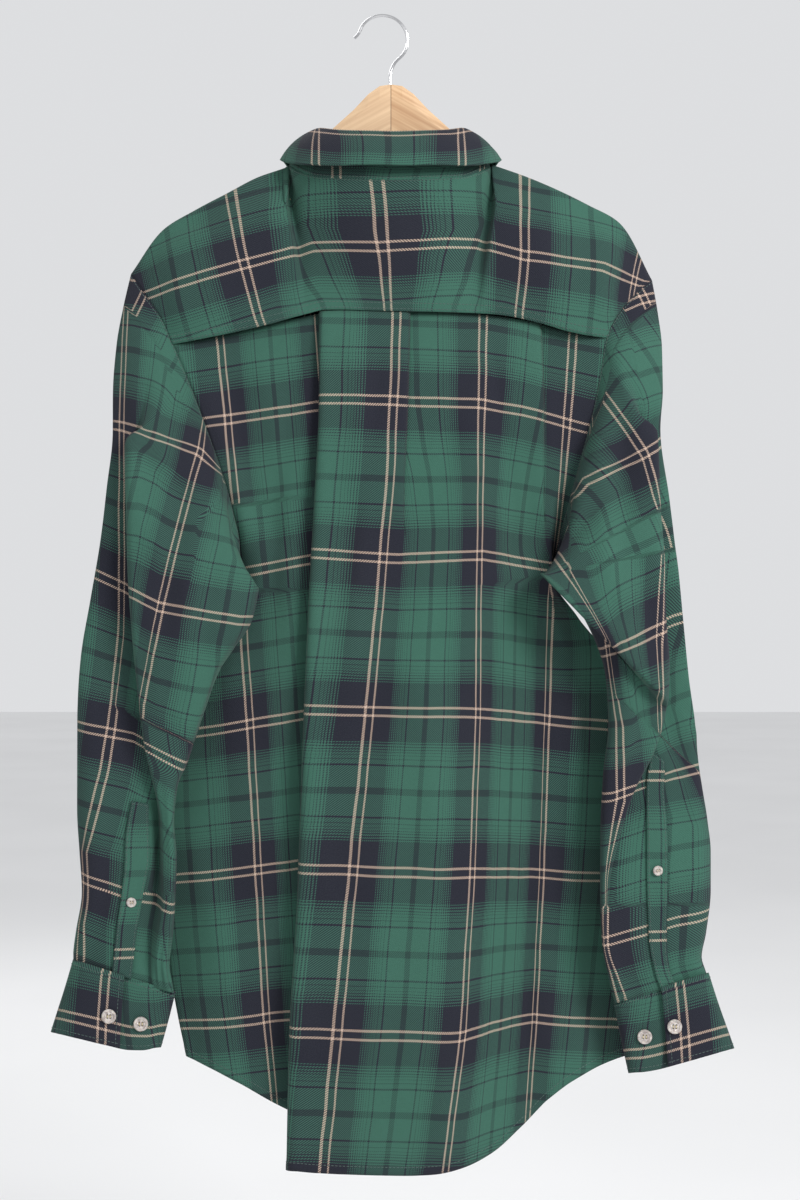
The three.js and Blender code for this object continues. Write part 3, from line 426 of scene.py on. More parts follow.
def anchored(travel, position, other, lines, repeat, spans=None):
    """The cloth's coordinate along one row: it takes whole repeats where the row meets the cream pairs."""
    met = []
    for k, line in enumerate(lines):
        line = np.array(line)
        away = position - np.interp(other, line[:, 0], line[:, 1])
        crossing = np.where(np.diff(np.sign(away)) != 0)[0]
        if spans:
            crossing = crossing[(crossing >= spans[k][0]) & (crossing < spans[k][1])]
        if len(crossing):
            i = crossing[0]
            share = away[i] / (away[i] - away[i + 1])
            met.append((mix(travel[i], travel[i + 1], share), k * repeat))
    if not met:
        return None
    far = 5000
    met = [(met[0][0] - far, met[0][1] - far)] + met + [(met[-1][0] + far, met[-1][1] + far)]
    met = np.array(met)
    return np.interp(travel, met[:, 0], met[:, 1])


def cloth_across(grid, lines, column_at=None, spans=None, repeat=WARP_REPEAT):
    """Warp coordinate of every point, from lines down the cloth given as photo points."""
    lines = [[(drop, x) for x, drop in from_photo(line)] for line in lines]
    travel = lengths_along(grid, 1)
    if spans:
        spans = [np.searchsorted(column_at, span) for span in spans]
    drops = -grid[..., 2]
    found = [anchored(travel[r], grid[r, :, 0], drops[r], lines, repeat, spans) for r in range(len(grid))]
    known = [r for r, row in enumerate(found) if row is not None]
    return np.array([found[min(known, key=lambda k: abs(k - r))] for r in range(len(grid))])


def cloth_down(grid, lines, repeat=WEFT_REPEAT):
    """Weft coordinate of every point, from lines across the cloth given as photo points."""
    lines = [from_photo(line) for line in lines]
    travel = lengths_along(grid, 0)
    columns = range(grid.shape[1])
    found = [anchored(travel[:, c], -grid[:, c, 2], grid[:, c, 0], lines, repeat) for c in columns]
    known = [c for c in columns if found[c] is not None]
    return np.array([found[min(known, key=lambda k: abs(k - c))] for c in columns]).T


def line_inside(grid, normals, edge, inset):
    """Points and normals along an edge of the cloth, that far in from it."""
    turns = {"top": (0, 1), "bottom": (0, -1), "left": (1, 1), "right": (1, -1)}
    axis, direction = turns[edge]
    if axis == 1:
        grid, normals = grid.transpose(1, 0, 2), normals.transpose(1, 0, 2)
    grid, normals = grid[::direction], normals[::direction]
    depth = min(len(grid), 40)
    travel = lengths_along(grid[:depth], 0)
    points = []
    facing = []
    for c in range(grid.shape[1]):
        row = np.interp(inset, travel[:, c], np.arange(depth))
        i = min(int(row), depth - 2)
        points.append(mix(grid[i, c], grid[i + 1, c], row - i))
        facing.append(mix(normals[i, c], normals[i + 1, c], row - i))
    return np.array(points), np.array(facing)


STITCH = {"long": 2.3, "apart": 3.0, "half": 0.26}
thread_green, thread_wire, thread_shader = surface("sewing_thread", 0.7, Sheen_Weight=0.2)
thread_place = thread_wire.node("TexCoord", {}, {}, 3)
thread_twist = thread_wire.node("TexWave", {}, {"Vector": thread_place, "Scale": 900.0, "Distortion": 1.0}, 1)
thread_colour = thread_wire.node(
    "ValToRGB", {"stops": [(0, (0.030, 0.055, 0.050)), (1, (0.075, 0.120, 0.105))]}, {"Fac": thread_twist})
thread_wire.tree.links.new(thread_colour.socket, thread_shader.inputs["Base Color"])


def sew(name, lines, lift=CLOTH / 2 + 0.12):
    """Rows of sewn stitches, each a small rounded length of thread on the cloth."""
    vertices = []
    faces = []
    for points, facing in lines:
        travel = np.concatenate([[0], np.cumsum(np.linalg.norm(np.diff(points, axis=0), axis=1))])
        for start in np.arange(1.0, travel[-1] - STITCH["long"], STITCH["apart"]):
            at = [start, start + 0.3 * STITCH["long"], start + 0.7 * STITCH["long"], start + STITCH["long"]]
            middle = np.array([[np.interp(t, travel, points[:, k]) for k in range(3)] for t in at])
            up = np.array([[np.interp(t, travel, facing[:, k]) for k in range(3)] for t in at])
            up /= np.linalg.norm(up, axis=1, keepdims=True)
            aside = np.cross(middle[-1] - middle[0], up[1])
            aside = aside / max(np.linalg.norm(aside), 1e-9) * STITCH["half"]
            base = len(vertices)
            for k in range(4):
                inner = k in (1, 2)
                centre = middle[k] + up[k] * (lift if inner else lift - 0.35)
                wide = 1.0 if inner else 0.4
                crown = centre + up[k] * STITCH["half"] * wide
                vertices += [centre - aside * wide, crown, centre + aside * wide]
            for k in range(3):
                a = base + 3 * k
                faces += [(a, a + 1, a + 4, a + 3), (a + 1, a + 2, a + 5, a + 4)]
    mesh = bpy.data.meshes.new(name)
    mesh.from_pydata((np.array(vertices) * MM).tolist(), [], faces)
    mesh.materials.append(thread_green)
    piece = bpy.data.objects.new(name, mesh)
    bpy.context.scene.collection.objects.link(piece)
    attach(piece, "root")


YOKE_STEP = 3.6
YOKE_WARP = [
    [(229, 191), (247, 271), (262, 325), (270, 345)],
    [(377, 180), (388, 311), (390, 330)],
    [(527, 150), (525, 175), (523, 261), (517, 318)],
]
YOKE_WEFT = [[(140, 300), (151, 297), (247, 270), (314, 252), (381, 254), (420, 252), (476, 248), (523, 262),
              (600, 272), (640, 285)]]
YOKE_CREASES = [
    [-86, 128, -70, 236, 11, -1.6], [-60, 134, -56, 232, 7, 1.4], [-150, 176, -128, 250, 16, 1.5],
    [-18, 130, -8, 228, 18, -1.2], [44, 132, 40, 232, 15, 1.3], [88, 150, 78, 236, 11, -1.5],
    [122, 170, 138, 246, 14, 1.8], [-176, 214, -112, 224, 9, -1.0], [150, 214, 190, 222, 9, -1.1],
]
yoke_fine, _, _ = refined(yoke_grid(), YOKE_STEP)
yoke_facing = grid_normals(yoke_fine, 1)
yoke_from_seam = lengths_along(yoke_fine, 0)
yoke_rise = creases(yoke_fine[..., 0], -yoke_fine[..., 2], YOKE_CREASES)
yoke_rise *= np.clip(yoke_from_seam / 20, 0, 1) * np.clip((yoke_from_seam[-1:] - yoke_from_seam) / 20, 0, 1)
yoke_rise += 0.5 * (1 - np.clip((yoke_from_seam - 7) / 1.5, 0, 1))
yoke_fine = yoke_fine + yoke_facing * yoke_rise[..., None]
yoke = cloth_piece(
    "shirt_yoke", yoke_fine, cloth_across(yoke_fine, YOKE_WARP), cloth_down(yoke_fine, YOKE_WEFT))
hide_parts("yoke")
sew("yoke_topstitch", [line_inside(yoke_fine, yoke_facing, "top", 2.0),
                       line_inside(yoke_fine, yoke_facing, "top", 6.5),
                       line_inside(yoke_fine, yoke_facing, "bottom", 2.0)])

# Back: one wide panel below the yoke, cut about twice as wide as it hangs. Its fullness is laid in a deep
# fold left of the middle and two small pleats that open downwards, and its hem is cut in a shirt tail.
UNDERARM = {"left": 450, "right": 446}
SIDE_HEM = {"left": 831, "right": 829}
SIDE_SEAM = {
    "left": table("drop x", [
        [450, -115], [506, -136], [574, -156], [626, -170], [674, -177], [754, -172], [787, -167],
        [831, -158]]),
    "right": table("drop x", [
        [446, 134], [466, 142], [492, 166], [518, 181], [574, 188], [626, 191], [674, 194], [754, 195],
        [829, 199]]),
}
ARMHOLE_ROWS = 7
SIDE_ROWS = 11
GAP = 0.3
BACK = table("f foldX overlap leftY centreY pleatOpen pleatX rightX rightOpen rightY", [
    [0, -50, 26, -15, -23.5, 0, 19, 124, 0, -20],
    [0.1, -50, 29, -14, -27, 0.1, 18, 127, 0.2, -19],
    [0.2, -53, 34, -13, -31, 0.5, 17, 128, 0.6, -16],
    [0.33, -58, 42, -13, -34, 1, 15, 128, 1, -14],
    [0.5, -63, 55, -13, -37, 1, 11, 126, 1, -13],
    [0.7, -68, 70, -13, -38, 1, 7, 124, 1, -13],
    [0.85, -74, 80, -14, -39, 1, 4, 123, 1, -14],
    [1, -76, 86, -14, -39, 1, 2, 122, 1, -14]])
BACK_HEM = table("across drop", [
    [0, 831], [0.04, 841], [0.09, 855], [0.13, 870], [0.16, 876], [0.32, 915], [0.48, 922], [0.58, 926],
    [0.7, 927], [0.76, 919], [0.79, 912], [0.84, 886], [0.89, 858], [0.95, 838], [1, 829]])


def side_rows(side, top_drop, arm_rows, towards):
    drops = [mix(top_drop, UNDERARM[side], r / arm_rows) for r in range(arm_rows)]
    rows = [armhole_point(side, drop, towards) for drop in drops]
    for share in steps(SIDE_ROWS):
        drop = mix(UNDERARM[side], SIDE_HEM[side], share)
        rows.append(np.array([SIDE_SEAM[side](drop), towards * GAP, -drop]))
    return rows


def fold_points(x, overlap, before, after, right_over, opened, spread):
    """Across a fold: out to its edge, back under by the overlap, and on. As it opens it becomes a ramp."""
    middle = (before + after) / 2
    near = x + overlap if right_over else x
    far = x if right_over else x - overlap
    folded = [[near - 0.5 * overlap, before], [near, before], [near + 2.5, (before + middle) / 2],
              [near, middle], [far, middle], [far - 2.5, (middle + after) / 2], [far, after]]
    points = []
    for i, (folded_x, folded_y) in enumerate(folded):
        ramp = i / (len(folded) - 1)
        points.append([mix(folded_x, x + spread * (ramp - 0.5), opened),
                       mix(folded_y, mix(before, after, ease(ramp)), opened)])
    return points


def back_section(f, left, right):
    s = BACK(f)
    left_part = [[mix(left[0], s["foldX"], t),
                  mix(left[1], s["leftY"], ease(t / 0.3)) - 2.5 * math.sin(9 * t + 3 * f) * ease(f * 4)]
                 for t in (0.08, 0.24, 0.5, 0.78)]
    main = fold_points(s["foldX"], s["overlap"], s["leftY"], s["centreY"], True, 0, 0)
    pleat = fold_points(s["pleatX"], 16, s["centreY"], s["centreY"] + 5.5 * (1 - s["pleatOpen"]), False,
                        s["pleatOpen"], 24)
    centre = [[mix(s["foldX"], s["pleatX"] - 12, t), s["centreY"] + 3 * math.sin(5 * t) * s["pleatOpen"]]
              for t in (0.3, 0.62)]
    shoulder_x = 61
    after_pleat = s["centreY"] + 4 * (1 - s["pleatOpen"])
    opened = s["rightOpen"]
    beside = [
        [mix(s["pleatX"] + 12, shoulder_x, 0.5), after_pleat],
        [shoulder_x, mix(after_pleat, mix(s["centreY"], s["rightY"], 0.1), opened)],
        [shoulder_x + 24, mix(after_pleat, mix(s["centreY"], s["rightY"], 0.55), opened)]]
    before = mix(after_pleat, s["rightY"], opened)
    right_pleat = fold_points(s["rightX"], 14, before, before + 5.5 * (1 - opened), False, opened, 16)
    right_part = [[mix(s["rightX"], right[0], t),
                   mix(right_pleat[6][1], right[1], ease((t - 0.35) / 0.65)) - 2 * math.sin(6 * t) * opened]
                  for t in (0.35, 0.68, 0.9)]
    return [left[:2], *left_part, *main, *centre, *pleat, *beside, *right_pleat, *right_part, right[:2]]


def rounded(row, closed=False):
    row = np.array(row)
    soft = (np.roll(row, 1, axis=0) + 4 * row + np.roll(row, -1, axis=0)) / 6
    if not closed:
        soft[0], soft[-1] = row[0], row[-1]
    return soft


def back_grid():
    left = side_rows("left", BACK_YOKE["left"], ARMHOLE_ROWS, -1)
    right = side_rows("right", BACK_YOKE["right"], ARMHOLE_ROWS, -1)
    shares = [(-point[2] - BACK_YOKE["left"]) / (SIDE_HEM["left"] - BACK_YOKE["left"]) for point in left]
    sections = [np.array(back_section(f, a, b)) for f, a, b in zip(shares, left, right)]
    chord = np.linalg.norm(np.diff(sections[-1], axis=0), axis=1)
    reached = np.concatenate([[0], np.cumsum(chord)]) / chord.sum()
    rows = []
    for f, section, a, b in zip(shares, sections, left, right):
        drops = [mix(YOKE_SEAM(top_x) + 0.5, BACK_HEM(across), f)
                 for top_x, across in zip(sections[0][:, 0], reached)]
        row = np.column_stack([section, -np.array(drops)])
        row[0], row[-1] = a, b
        rows.append(rounded(row))
    return placed(rows)


BACK_STEP = 4.4
BACK_WARP = [
    [(222, 338), (238, 501), (246, 640), (252, 720), (260, 865), (268, 1015), (277, 1105), (279, 1180)],
    [(317, 300), (321, 361), (338, 600), (366, 1180)],
    [(397, 320), (392, 470), (385, 556), (371, 710), (355, 868), (340, 1022), (325, 1170)],
    [(482, 320), (478, 556), (477, 710), (471, 868), (462, 1022), (443, 1170)],
    [(573, 320), (560, 480), (548, 600), (545, 720), (540, 870), (533, 1015), (521, 1180)],
]
BACK_WARP_SPANS = [(0.5, 6), (3, 6), (11, 20), (17, 27), (24, 35)]
LEFT_WEFT = [[(180, 429), (205, 425), (318, 408)], [(200, 580), (258, 570), (312, 560)],
             [(160, 738), (200, 732), (303, 714)], [(150, 882), (176, 878), (300, 862)],
             [(150, 1030), (183, 1024), (290, 1012)]]
CENTRE_WEFT = [
    [(300, 402), (395, 404), (480, 407), (520, 414), (583, 430), (640, 440)],
    [(300, 553), (400, 560), (482, 556), (540, 566), (620, 576)],
    [(290, 707), (480, 711), (608, 726), (640, 730)],
    [(280, 862), (480, 868), (600, 876), (640, 880)],
    [(270, 1022), (461, 1027), (490, 1020), (533, 1014), (612, 1022), (640, 1026)]]
# Each crease: its two ends as x and drop, its width and how far it stands out.
BACK_CREASES = [
    [-152, 300, -112, 470, 15, 2.2], [-128, 286, -84, 420, 11, -2.0], [-96, 262, -88, 560, 9, 1.6],
    [-68, 250, -76, 470, 7, -1.3], [-140, 520, -100, 690, 18, 2.2], [-108, 600, -92, 860, 14, -2.0],
    [-160, 640, -128, 800, 12, 1.8], [-30, 250, -34, 520, 9, 1.4], [-16, 262, -22, 470, 6, -1.2],
    [-42, 560, -52, 880, 12, 1.8], [0, 500, -20, 900, 17, -2.0], [40, 290, 36, 480, 12, 1.6],
    [30, 520, 22, 800, 15, 2.0], [62, 260, 60, 540, 9, -1.5], [84, 300, 92, 640, 14, 2.0],
    [90, 264, 90, 470, 4, -1.2], [102, 560, 96, 880, 16, -2.2], [132, 300, 142, 470, 12, 2.4],
    [150, 330, 176, 470, 13, -2.2], [150, 520, 158, 700, 16, 2.4], [172, 620, 168, 810, 12, -1.8],
    [126, 700, 138, 850, 11, 1.7], [64, 700, 56, 910, 10, 1.5], [-120, 390, -60, 452, 12, 1.1],
    [96, 440, 160, 512, 12, 1.3], [120, 392, 172, 430, 9, 1.2]]
back_fine, _, back_columns = refined(back_grid(), BACK_STEP)
back_facing = grid_normals(back_fine, -1)
back_from_seam = lengths_along(back_fine, 0)
back_to_hem = back_from_seam[-1:] - back_from_seam
back_aside = np.minimum(back_columns, back_columns[-1] - back_columns)[None, :]
back_rise = creases(back_fine[..., 0], -back_fine[..., 2], BACK_CREASES)
back_rise *= np.clip(back_from_seam / 30, 0, 1) * np.clip(back_aside / 2.2, 0, 1)
back_fine[..., 1] -= back_rise
back_hemmed = 0.45 * (1 - np.clip((back_to_hem - 7) / 1.5, 0, 1))
back_fine += back_facing * back_hemmed[..., None]
left_share = np.clip((back_columns - 6.2) / 3.6, 0, 1)[None, :]
back = cloth_piece(
    "shirt_back", back_fine,
    cloth_across(back_fine, BACK_WARP, back_columns, BACK_WARP_SPANS),
    mix(cloth_down(back_fine, LEFT_WEFT), cloth_down(back_fine, CENTRE_WEFT), left_share))
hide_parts("back")
sew("back_topstitch", [line_inside(back_fine, back_facing, "bottom", 6.5)])

# Fronts: a left and a right panel, each sewn to the yoke, the neck, a sleeve and the back. The left one laps
# over the right in the middle. They hang behind the back here, and are finished plainly.
FRONT_ARMHOLE_ROWS = 8
FRONT_EDGE = table("f y", [[0, 46], [0.06, 42.5], [0.15, 38], [0.3, 33], [1, 31]])
FRONT_HEM = table("across drop", [[0, 831], [0.15, 838], [0.4, 862], [0.65, 878], [1, 880]])
HALF_OVERLAP = 16
FRONT_UNDER = {"left": 0, "right": -5.3}


def front_grid(side):
    sign = SIGN[side]
    under = FRONT_UNDER[side]
    edge_x = CENTRE - sign * HALF_OVERLAP
    side_edge = side_rows(side, FRONT_YOKE[side], FRONT_ARMHOLE_ROWS, 1)
    last_turn = 180 + math.degrees(math.asin(HALF_OVERLAP / NECK_HALF))
    top = [front_seam_point(side, t) for t in steps(3)]
    top += [neckline_point(sign * turn) for turn in steps(6, YOKE_TURN, last_turn)[1:]]
    last = len(top) - 1
    top_drop = FRONT_YOKE[side]
    hem_drop = FRONT_HEM(1)
    middle_hem = np.array([edge_x, FRONT_EDGE(1) + under, -hem_drop])
    grid = []
    for r, side_place in enumerate(side_edge):
        f = (-side_place[2] - top_drop) / (SIDE_HEM[side] - top_drop)
        middle = top[last]
        if r:
            middle = np.array([edge_x, FRONT_EDGE(f) + under, -mix(-top[last][2], hem_drop, f)])
        row = [side_place]
        for c in range(1, len(top)):
            u = c / last
            hem = np.array([mix(side_edge[-1][0], edge_x, u),
                            (FRONT_EDGE(1) + under) * ease(min(1, u * 2.2)), -FRONT_HEM(u)])
            ruled = mix(top[c], hem, f) + mix(side_place, middle, u)
            point = ruled - mix(mix(side_edge[0], top[last], u), mix(side_edge[-1], middle_hem, u), f)
            wave = math.sin(math.pi * u) * ease(f * 3) * (1 - ease((u - 0.5) / 0.3))
            point[1] += wave * (3.5 * math.sin(9 * u + 2 * f) - 1.5)
            row.append(point)
        grid.append(row)
    return placed(grid)


FRONT_STEP = 5.0
FRONT_FACING = {"left": 1, "right": -1}
FRONT_WARP = {
    "left": [[(192, 250), (210, 700), (225, 1100)], [(305, 250), (318, 700), (322, 1100)],
             [(397, 220), (399, 700), (400, 1100)]],
    "right": [[(404, 220), (406, 700), (408, 1100)], [(505, 250), (500, 700), (498, 1100)],
              [(585, 250), (600, 700), (610, 1100)]],
}
FRONT_WEFT = [[(100, 300 + 155 * k), (400, 304 + 155 * k), (700, 300 + 155 * k)] for k in range(6)]
FRONT_CREASES = {
    "left": [[-130, 280, -96, 440, 13, 2.0], [-100, 330, -88, 560, 10, -1.6], [-140, 560, -110, 760, 15, 1.8],
             [-76, 300, -70, 520, 12, 1.4], [-84, 620, -70, 840, 14, -1.6], [-120, 430, -60, 480, 10, 1.0]],
    "right": [[150, 280, 128, 430, 13, 2.0], [112, 320, 100, 520, 11, -1.7], [150, 520, 162, 740, 15, 1.8],
              [86, 300, 82, 560, 12, 1.3], [96, 640, 84, 850, 14, -1.6], [176, 600, 170, 800, 10, 1.2]],
}
front_cloth = {}
for side in ("left", "right"):
    front_fine, front_rows, front_columns = refined(front_grid(side), FRONT_STEP)
    front_facing = grid_normals(front_fine, FRONT_FACING[side])
    from_top = lengths_along(front_fine, 0)
    fade = np.clip(from_top / 40, 0, 1) * np.clip(front_columns / 1.5, 0, 1)[None, :]
    fade = fade * np.clip((5.5 - front_columns) / 1.5, 0, 1)[None, :]
    front_fine[..., 1] += creases(front_fine[..., 0], -front_fine[..., 2], FRONT_CREASES[side]) * fade
    along = front_fine if side == "left" else front_fine[:, ::-1]
    warp = cloth_across(along, FRONT_WARP[side])
    front = cloth_piece("front_panel_" + side, front_fine, warp if side == "left" else warp[:, ::-1],
                        cloth_down(front_fine, FRONT_WEFT))
    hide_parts("front_" + side)
    front_cloth[side] = (front_fine, front_facing, front_rows, front_columns)
    sew("front_topstitch_" + side, [line_inside(front_fine, front_facing, "bottom", 6.5),
                                    line_inside(front_fine, front_facing, "top", 2.0)])

# Sleeves: each a tube of flannel, set in at the armhole and sewn to its cuff. They hang folded flat, with a
# long valley where the near layer lies over the layer behind it.
RING_COLUMNS = "outerDrop outerX valleyX nearX innerX innerDrop behindY returnY nearY farY".split()
RINGS = {
    "left": [
        [330, -217, -197, -206, -99, 459, -30, -38, -50, -23],
        [376, -222, -191, -206, -105, 485, -30, -42, -56, -24],
        [418, -227, -189, -206, -119, 506, -30, -43, -58, -24],
        [466, -235, -187, -203, -131, 524, -31, -43, -58, -24],
        [514, -243, -182, -198, -145, 562, -33, -44, -57, -23],
        [562, -246, -178, -192, -157, 597, -36, -44, -55, -22],
        [600, -246, -182, -184, -165, 616, -40, -38, -53, -22],
        [634, -246, -184, -178, -168, 644, -43, -32, -52, -22],
        [668, -244, -184, -177, -166, 672, -45, -29, -51, -22],
        [700, -242, -190, -177, -167, 703, -45, -29, -50, -22],
        [729, -246, -195, -181, -169, 734, -45, -31, -48, -22],
        [745, -248, -197, -184, -172, 759, -43, -35, -46, -22],
        [756, -249, -199, -184, -168, 781, -40, -38, -41, -24],
    ],
    "right": [
        [330, 221, 208, 219, 127, 448, -30, -38, -48, -23],
        [384, 228, 209, 221, 126, 447, -30, -42, -56, -25],
        [432, 234, 211, 225, 125, 446, -31, -44, -60, -28],
        [482, 239, 212, 226, 124, 445, -31, -45, -64, -29],
        [528, 244, 213, 229, 124, 444, -32, -46, -67, -31],
        [566, 249, 214, 228, 124, 444, -33, -47, -69, -33],
        [584, 250, 213, 226, 148, 462, -34, -42, -56, -30],
        [602, 252, 210, 222, 177, 528, -35, -42, -54, -28],
        [620, 255, 204, 215, 179, 566, -38, -43, -53, -26],
        [642, 259, 190, 202, 175, 604, -40, -44, -53, -24],
        [668, 262, 180, 189, 173, 650, -43, -45, -52, -23],
        [699, 262, 176, 180, 173, 697, -45, -46, -50, -22],
        [732, 258, 178, 179, 175, 740, -45, -46, -48, -22],
        [752, 254, 186, 187, 181, 770, -43, -44, -45, -22],
        [767, 259, 192, 194, 185, 789, -40, -40, -41, -24],
    ],
}
RING_POINTS = 22
NEAR_POINTS = 11
CAP_RINGS = [(0.2, 6), (0.45, 9), (0.72, 6)]


def ring_of(row):
    r = dict(zip(RING_COLUMNS, row))
    outer, inner, near, valley = r["outerX"], r["innerX"], r["nearX"], r["valleyX"]
    out = np.sign(outer - inner)

    def point(x, y):
        return [x, y, -mix(r["outerDrop"], r["innerDrop"], (x - outer) / (inner - outer))]

    ring = [
        point(outer, mix(r["behindY"], r["farY"], 0.5)),
        point(mix(outer, valley, 0.1), r["behindY"]),
        point(mix(outer, valley, 0.55), r["behindY"] - 2),
        point(valley, mix(r["behindY"], r["returnY"], 0.15)),
        point(mix(valley, near, 0.5) - out, r["returnY"]),
        point(near + out, mix(r["returnY"], r["nearY"], 0.45)),
        point(near - out, r["nearY"])]
    ring += [point(mix(near, inner, t), r["nearY"] + 1.5 * math.sin(8 * t)) for t in (0.3, 0.58, 0.82)]
    ring += [point(mix(near, inner, 0.97), mix(r["nearY"], r["farY"], 0.2)),
             point(inner, mix(r["nearY"], r["farY"], 0.6))]
    for i, t in enumerate((0.05, 0.15, 0.28, 0.41, 0.54, 0.66, 0.78, 0.88, 0.95)):
        ring.append(point(mix(inner, outer, t), r["farY"] - (2 if i == 0 else 0)))
    ring.append(point(mix(inner, outer, 0.99), mix(r["farY"], r["behindY"], 0.2)))
    return rounded(ring, True)


def armhole_ring(side):
    back_yoke, shoulder, front_yoke, underarm = (m[side] for m in (BACK_YOKE, SHOULDER, FRONT_YOKE, UNDERARM))
    ring = [(mix(back_yoke, shoulder, share), -1) for share in YOKE_BACK_SHARES[:0:-1]]
    ring += [(mix(back_yoke, underarm, i / ARMHOLE_ROWS), -1) for i in range(ARMHOLE_ROWS)]
    ring += [(mix(underarm, front_yoke, i / FRONT_ARMHOLE_ROWS), 1) for i in range(FRONT_ARMHOLE_ROWS)]
    ring += [(mix(shoulder, front_yoke, share), 1) for share in YOKE_FRONT_SHARES[:0:-1]]
    return np.array([armhole_point(side, drop, towards) for drop, towards in ring])


def sleeve_grid(side):
    out = SIGN[side]
    armhole = armhole_ring(side)
    lower = [ring_of(row) for row in RINGS[side]]
    rings = [armhole]
    for along, lap in CAP_RINGS:
        ring = mix(armhole, lower[0], along)
        puff = math.sin(math.pi * along)
        for i in range(len(ring)):
            near = math.sin(math.pi * i / NEAR_POINTS) if i <= NEAR_POINTS else 0
            low = near * ease((i / NEAR_POINTS - 0.3) / 0.4) * (1 - ease((i / NEAR_POINTS - 0.7) / 0.2))
            underarm = 12 * (1 - along) * clamp(1 - abs(i - NEAR_POINTS) / 3.5)
            ring[i, 0] += out * (5 * puff * (1 - ease(i / 4)) - lap * low + underarm)
            ring[i, 1] -= 9 * puff * near
        rings.append(ring)
    return placed(rings + lower)


SLEEVE_STEP = 4.2
SLEEVE_FACING = {"left": -1, "right": 1}
SLEEVE_WARP = {
    "left": [[(128, 300), (128, 634), (118, 726), (111, 771), (90, 858), (91, 873), (88, 975)],
             [(212, 300), (205, 456), (170, 600), (150, 700), (152, 975)]],
    "right": [[(590, 300), (601, 400), (637, 460), (655, 530), (648, 640), (652, 780), (672, 975)],
              [(548, 400), (549, 551), (600, 640), (612, 720), (616, 975)]],
}
SLEEVE_SPANS = {"left": [(0.4, 3.6), (5.4, 11)], "right": [(5.4, 9), (7, 11.4)]}
SLEEVE_WEFT = {
    "left": [[(60, 246), (128, 275), (204, 300), (232, 328)], [(60, 415), (128, 430), (204, 455), (232, 483)],
             [(60, 562), (93, 570), (130, 588), (167, 607), (244, 620)],
             [(60, 718), (79, 722), (140, 734), (200, 766)], [(60, 863), (76, 866), (123, 881), (200, 905)]],
    "right": [[(540, 362), (580, 330), (637, 303), (680, 290), (740, 280)],
              [(540, 530), (555, 520), (580, 485), (637, 458), (659, 443), (740, 420)],
              [(540, 668), (605, 648), (668, 620), (740, 600)],
              [(540, 800), (605, 790), (668, 770), (740, 755)],
              [(540, 935), (605, 930), (668, 912), (740, 900)]],
}
SLEEVE_CREASES = {
    "left": [
        [-176, 250, -204, 420, 12, 2.4], [-160, 290, -178, 480, 10, -2.4], [-140, 340, -150, 520, 12, 2.2],
        [-120, 400, -136, 540, 8, -1.8], [-204, 300, -224, 520, 8, 1.6], [-168, 480, -184, 620, 9, 2.0],
        [-190, 400, -150, 452, 10, 1.6], [-130, 470, -172, 520, 9, 1.5], [-226, 520, -238, 700, 8, 1.5],
        [-176, 610, -180, 760, 5, 1.2], [-212, 560, -222, 740, 8, -1.4], [-160, 556, -180, 590, 8, -1.4]],
    "right": [
        [196, 250, 214, 400, 11, 2.4], [178, 280, 196, 450, 10, -2.4], [160, 320, 168, 470, 11, 2.2],
        [142, 400, 150, 560, 10, -1.8], [176, 440, 196, 580, 11, 2.2], [136, 456, 190, 500, 9, 1.8],
        [206, 420, 218, 590, 8, -1.8], [138, 520, 170, 556, 8, 1.5], [230, 560, 246, 740, 9, 1.6],
        [206, 620, 214, 760, 10, -1.4], [184, 600, 190, 700, 6, 1.4], [224, 330, 236, 500, 7, 1.2]],
}
FAR_CREASES = {
    "left": [[-196, 260, -170, 460, 14, 2.2], [-150, 300, -150, 480, 12, -1.8],
             [-214, 430, -190, 640, 14, 2.0], [-180, 560, -206, 740, 12, 1.8],
             [-228, 600, -226, 745, 10, -1.4]],
    "right": [[206, 260, 184, 430, 14, 2.2], [160, 320, 156, 440, 12, -1.8], [222, 430, 204, 590, 14, 2.0],
              [198, 620, 220, 745, 12, 1.8], [240, 600, 240, 745, 10, -1.4]],
}
sleeve_cloth = {}
for side in ("left", "right"):
    tube, tube_rows, tube_columns = refined(sleeve_grid(side), SLEEVE_STEP, True)
    tube_facing = grid_normals(tube, SLEEVE_FACING[side], True)
    from_armhole = lengths_along(tube, 0)
    to_cuff = from_armhole[-1:] - from_armhole
    fade = np.clip(from_armhole / 25, 0, 1) * np.clip(to_cuff / 25, 0, 1)
    near = creases(tube[..., 0], -tube[..., 2], SLEEVE_CREASES[side]) * np.clip(-tube_facing[..., 1], 0, 1)
    far = creases(tube[..., 0], -tube[..., 2], FAR_CREASES[side]) * np.clip(tube_facing[..., 1], 0, 1)
    far = far * ((tube_columns > 11.5) | (tube_columns < 0.5))[None, :]
    gathered = 0.78 * np.sin(tube_columns * 3.9)[None, :] * np.exp(-((to_cuff / 38) ** 2))
    gathered *= np.clip(to_cuff / 8, 0, 1)
    tube = tube + tube_facing * ((near + far) * fade + gathered)[..., None]
    closed_tube = np.concatenate([tube, tube[:, :1]], axis=1)
    place = np.append(tube_columns, RING_POINTS)
    warp = cloth_across(closed_tube, SLEEVE_WARP[side], place, SLEEVE_SPANS[side])
    weft = cloth_down(closed_tube, SLEEVE_WEFT[side])
    sleeve = cloth_piece("sleeve_tube_" + side, tube, warp, weft, closed=True)
    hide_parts("sleeve_" + side)
    sleeve_cloth[side] = (tube, tube_facing, tube_rows, tube_columns)
    sew("armhole_topstitch_" + side, [line_inside(tube, tube_facing, "top", 1.8)])

